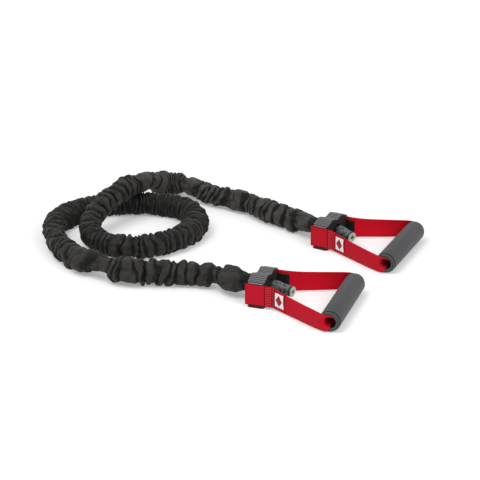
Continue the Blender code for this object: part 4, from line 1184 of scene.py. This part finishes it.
def mark_top(mesh, hub):
    """Notes how far across the hub each point lies, and which faces are part of the ribbed top,
    which the finish paints lit.
    """
    inverse = hub.inverted()
    note(mesh, "across", [(inverse @ point.co).y + RIB_HALF_WIDTH for point in mesh.vertices])
    low = COVER_LOW + 0.5 * MM
    top = [face.normal.z > 0.25 and face.center.z > low for face in mesh.polygons]
    note(mesh, "top", top, "FACE")


def carry(piece, body, slot, *nodes):
    """Says what a piece rides on and which solids it stands for; its slot is not used."""
    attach(piece, body)
    if nodes:
        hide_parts(*nodes)


def make_grip(prefix, grip, finishes):
    """Foam, core and domed caps of one grip."""
    body = f"{prefix}_grip"
    place = grip @ Matrix.Rotation(math.pi / 2, 4, "Y")
    half = GRIP_LENGTH / 2
    edge = [(FOAM_RADIUS - inward * MM, half - down * MM) for inward, down in FOAM_CORNER]
    edge = [(FOAM_BORE_RADIUS, half), *edge]
    profile = edge + [(radius, -height) for radius, height in edge[::-1]]
    marks = FOAM_MARKS + FOAM_MARKS[::-1]
    foam = turned_piece(f"{prefix}_foam", profile, place, finishes["foam"], marks)
    carry(foam, body, "grip_foam", f"{prefix}_grip_foam")
    profile = [(CORE_RADIUS, half), (CORE_RADIUS, -half)]
    profile += [(CORE_BORE_RADIUS, -half), (CORE_BORE_RADIUS, half)]
    core = turned_piece(f"{prefix}_core", profile, place, finishes["core"])
    carry(core, body, "core_plastic", f"{prefix}_grip_core")
    base, chamfer = half + GAP, 0.3 * MM
    for side, name in ((-1, "near"), (1, "far")):
        profile = []
        for step in range(CAP_RIM_STEPS + 1):
            turn = math.pi * step / CAP_RIM_STEPS
            radius = RIM_MIDDLE - RIM_RADIUS * math.cos(turn)
            profile.append((radius, RIM_AXIAL + RIM_RADIUS * math.sin(turn)))
        profile += [(CAP_RADIUS, base + chamfer), (CAP_RADIUS - chamfer, base), (SPIGOT_RADIUS, base)]
        profile += [(radius, half - SPIGOT_LENGTH) for radius in (SPIGOT_RADIUS, GRIP_BORE_RADIUS)]
        profile = [(radius, side * height) for radius, height in profile]
        cap = turned_piece(f"{prefix}_{name}_cap", profile, place, finishes["cap"], CAP_MARKS)
        carry(cap, body, "cap_plastic", f"{prefix}_{name}_grip_cap")


def make_tail(prefix, hub, finishes):
    """Collar and plug on the tube's tail."""
    start, end = tail_points(hub, LAYOUTS[prefix])
    turn = (end - start).to_track_quat("Z", "X").to_matrix().to_4x4()
    place = Matrix.Translation(start) @ turn
    length = (end - start).length
    bore = TUBE_RADIUS + TUBE_PLAY
    low = COLLAR_FROM_HUB - (TAIL_START_X - HUB_LENGTH / 2) + 1 * MM
    high = length - COLLAR_FROM_END
    profile = [
        (bore, high),
        (COLLAR_NOSE_RADIUS, high),
        (COLLAR_NOSE_RADIUS, low + COLLAR_BAND),
        (COLLAR_RADIUS, low + COLLAR_BAND - 0.4 * MM),
        (COLLAR_RADIUS, low),
        (bore, low),
    ]
    name = f"{prefix}_collar"
    collar = turned_piece(name, profile, place, finishes["collar"])
    bevel(collar, COLLAR_ROUNDING, 3, 25)
    collar = settled(collar, name, finishes["collar"])
    smooth(collar.data)
    carry(collar, "tube_and_hubs", "rubber", f"{prefix}_tube_collar")
    face = length + GAP
    top = face + PLUG_FLANGE
    stem = TUBE_BORE_RADIUS - GAP
    hole = PLUG_HOLE_RADIUS + 1.5 * MM
    profile = [
        (hole + 0.4 * MM, top),
        (PLUG_RADIUS - 0.6 * MM, top),
        (PLUG_RADIUS, top - 0.6 * MM),
        (PLUG_RADIUS, face + 0.5 * MM),
        (PLUG_RADIUS - 0.5 * MM, face),
        (stem, face),
        (stem, face - 8 * MM),
        (PLUG_HOLE_RADIUS, face - 8 * MM),
        (PLUG_HOLE_RADIUS, face - 1 * MM),
        (hole - 0.2 * MM, top - 0.8 * MM),
    ]
    plug = turned_piece(f"{prefix}_plug", profile, place, finishes["plug"], PLUG_MARKS)
    carry(plug, "tube_and_hubs", "plug_plastic", f"{prefix}_tube_plug")


def make_cuff(prefix, hub, finishes):
    """Elastic binding round the sleeve's end, and the eyelet in the sling."""
    turn = Matrix.Rotation(math.pi / 2, 4, "Y")
    bore = TUBE_RADIUS + TUBE_PLAY
    edge = 0.5 * MM
    profile = [(bore, 0)]
    for k in range(2 * CUFF_GROOVES + 1):
        groove = CUFF_GROOVE * (k % 2)
        across = k * (CUFF_LENGTH - 2 * edge) / (2 * CUFF_GROOVES)
        profile.append((CUFF_RADIUS - groove, -edge - across))
    profile.append((bore, -CUFF_LENGTH))
    place = hub @ Matrix.Translation((CUFF_X, 0, TUBE_HEIGHT)) @ turn
    cuff = turned_piece(f"{prefix}_cuff", profile, place, finishes["elastic"])
    carry(cuff, "tube_and_hubs", "cuff_elastic", f"{prefix}_sleeve_cuff")
    depth = SLING_THICKNESS + GAP
    profile = [
        (EYELET_RADIUS, depth),
        (EYELET_RADIUS, 0),
        (EYELET_FLANGE_RADIUS, 0),
        (EYELET_FLANGE_RADIUS, -EYELET_FLANGE * 0.6),
        (EYELET_FLANGE_RADIUS - 0.6 * MM, -EYELET_FLANGE),
        (EYELET_HOLE_RADIUS, -EYELET_FLANGE),
        (EYELET_HOLE_RADIUS, depth),
    ]
    place = hub @ Matrix.Translation((EYELET_FACE_X, 0, TUBE_HEIGHT)) @ turn
    eyelet = turned_piece(f"{prefix}_eyelet", profile, place, finishes["core"])
    carry(eyelet, "tube_and_hubs", "core_plastic", f"{prefix}_sling_eyelet")


def make_handle(prefix, hub, grip, finishes, threads):
    """Strap, sling, label and the sewing of one end."""
    strap = Strap(hub, grip, LAYOUTS[prefix])
    red = webbing(f"{prefix}_strap", strap.rows(), STRAP_THICKNESS, hub, finishes["strap"])
    carry(red, "tube_and_hubs", "strap_webbing", f"{prefix}_handle_strap")
    sling = webbing(f"{prefix}_sling", sling_rows(strap), SLING_THICKNESS, hub, finishes["sling"])
    carry(sling, "tube_and_hubs", "sling_webbing", f"{prefix}_inner_sling")
    label = make_label(f"{prefix}_label", strap, hub, finishes["label"])
    carry(label, "tube_and_hubs", "label_cloth", f"{prefix}_strap_label")
    for side, name in ((-1, "near"), (1, "far")):
        lines = stitch_lines(strap.outside(side), side)
        mesh = line_mesh(f"{prefix}_{name}_sewing", lines, hub)
        sewing = grown(f"{prefix}_{name}_stitches", mesh, threads, finishes["red thread"])
        carry(sewing, "tube_and_hubs", "strap_webbing")


def make_hub(prefix, hub, finishes):
    """The two moulded shells and the screws that close them."""
    for part in ("hub_base", "hub_cover"):
        shell = rounded_shell(f"{prefix}_{part}_shell", f"{prefix}_{part}", finishes["hub"], hub)
        carry(shell, "tube_and_hubs", "hub_plastic", f"{prefix}_{part}")
    for side in ("near", "far"):
        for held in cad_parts[f"{prefix}_{side}_hub_screw"].material_slots:
            held.material = finishes["steel"]


def make_camera():
    data = bpy.data.cameras.new("camera")
    data.sensor_width = CAMERA_SENSOR
    data.lens = CAMERA_LENS
    camera = bpy.data.objects.new("camera", data)
    back = Vector((0, -math.cos(CAMERA_ELEVATION), math.sin(CAMERA_ELEVATION)))
    camera.location = CAMERA_TARGET + back * CAMERA_DISTANCE
    camera.rotation_euler = (math.pi / 2 - CAMERA_ELEVATION, 0, 0)
    bpy.context.scene.collection.objects.link(camera)
    bpy.context.scene.camera = camera


def make_lights():
    """A big soft lamp above the left shoulder, a weaker one in front and an even pale world."""
    for name, at, size, power in LAMPS:
        data = bpy.data.lights.new(name, "AREA")
        data.size = size
        data.energy = power
        lamp = bpy.data.objects.new(name, data)
        lamp.location = at
        lamp.rotation_euler = (CAMERA_TARGET - Vector(at)).to_track_quat("-Z", "Y").to_euler()
        bpy.context.scene.collection.objects.link(lamp)
    world = bpy.data.worlds.new("studio")
    bpy.context.scene.world = world
    world.use_nodes = True
    nodes = Nodes(world.node_tree)
    background = world.node_tree.nodes["Background"]
    background.inputs["Color"].default_value = (1, 1, 1, 1)
    nodes.feed(background.inputs["Strength"], 0.5 + seen_rays(nodes) * 0.5)


def seen_rays(nodes):
    """One for what the camera sees, straight, mirrored or through, and nought for the light's rays."""
    path = nodes.add("ShaderNodeLightPath")
    seen = path.out("Is Camera Ray").math("MAXIMUM", path.out("Is Glossy Ray"))
    return seen.math("MAXIMUM", path.out("Is Transmission Ray"))


def make_floor():
    """A pale floor with the object's shadow on it, which the camera sees white and glowing far out."""
    mesh = bpy.data.meshes.new("floor")
    corners = [(x * FLOOR_REACH, y * FLOOR_REACH, 0) for x, y in ((-1, -1), (1, -1), (1, 1), (-1, 1))]
    mesh.from_pydata(corners, [], [(0, 1, 2, 3)])
    pale = (0.93, 0.93, 0.93)
    floor = Finish("floor", Roughness=0.9, Base_Color=pale, Specular_IOR_Level=0.0)
    x, y, _ = floor.split(floor.place())
    glow = seen_rays(floor) * floor.between((x * x + y * y).math("SQRT"), 0.65, 1.6, 0.25, 0.5)
    floor.set(Emission_Color=floor.vector(glow, glow, glow), Emission_Strength=1.0)
    new_piece("floor", mesh, floor.material)


def main():
    make_camera()
    make_lights()
    make_floor()
    finishes = {
        "sleeve": sleeve_cloth(),
        "elastic": webbing_cloth("elastic binding", srgb(22, 22, 23), srgb(40, 40, 41), 0.1),
        "strap": webbing_cloth(
            "strap webbing", srgb(176, 10, 30), srgb(216, 24, 48), 0.0, sewn=srgb(128, 2, 14)
        ),
        "sling": webbing_cloth("sling webbing", srgb(12, 11, 11), srgb(32, 29, 29), 0.05),
        "label": label_cloth(),
        "hub": ribbed_plastic(),
        "core": moulded_plastic(),
        "cap": marked_plastic(),
        "plug": plug_plastic(),
        "foam": foam_rubber(),
        "tube": tube_rubber("tube rubber", srgb(36, 37, 38), srgb(66, 68, 70)),
        "collar": tube_rubber("collar rubber", srgb(40, 43, 45), srgb(106, 111, 113)),
        "red thread": thread(srgb(206, 44, 60)),
        "steel": screw_steel(),
    }
    hubs, grips = {}, {}
    for prefix, layout in LAYOUTS.items():
        hubs[prefix] = end_matrix(layout["hub"], layout["hub_turn"])
        grips[prefix] = end_matrix(layout["grip"], layout["grip_turn"], FOAM_RADIUS)
    line = sleeve_line(hubs)
    tube, start, length = make_tube(hubs, line, finishes["tube"])
    carry(tube, "tube_and_hubs", "rubber", "rubber_tube")
    sleeve = make_sleeve(line, finishes["sleeve"])
    carry(sleeve, "tube_and_hubs", "sleeve_fabric", "fabric_sleeve")
    threads = thread_tree()
    for prefix, hub in hubs.items():
        make_hub(prefix, hub, finishes)
        make_cuff(prefix, hub, finishes)
        make_tail(prefix, hub, finishes)
        make_handle(prefix, hub, grips[prefix], finishes, threads)
        make_grip(prefix, grips[prefix], finishes)
    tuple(start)
    bpy.context.scene.view_settings.view_transform = "Standard"


main()
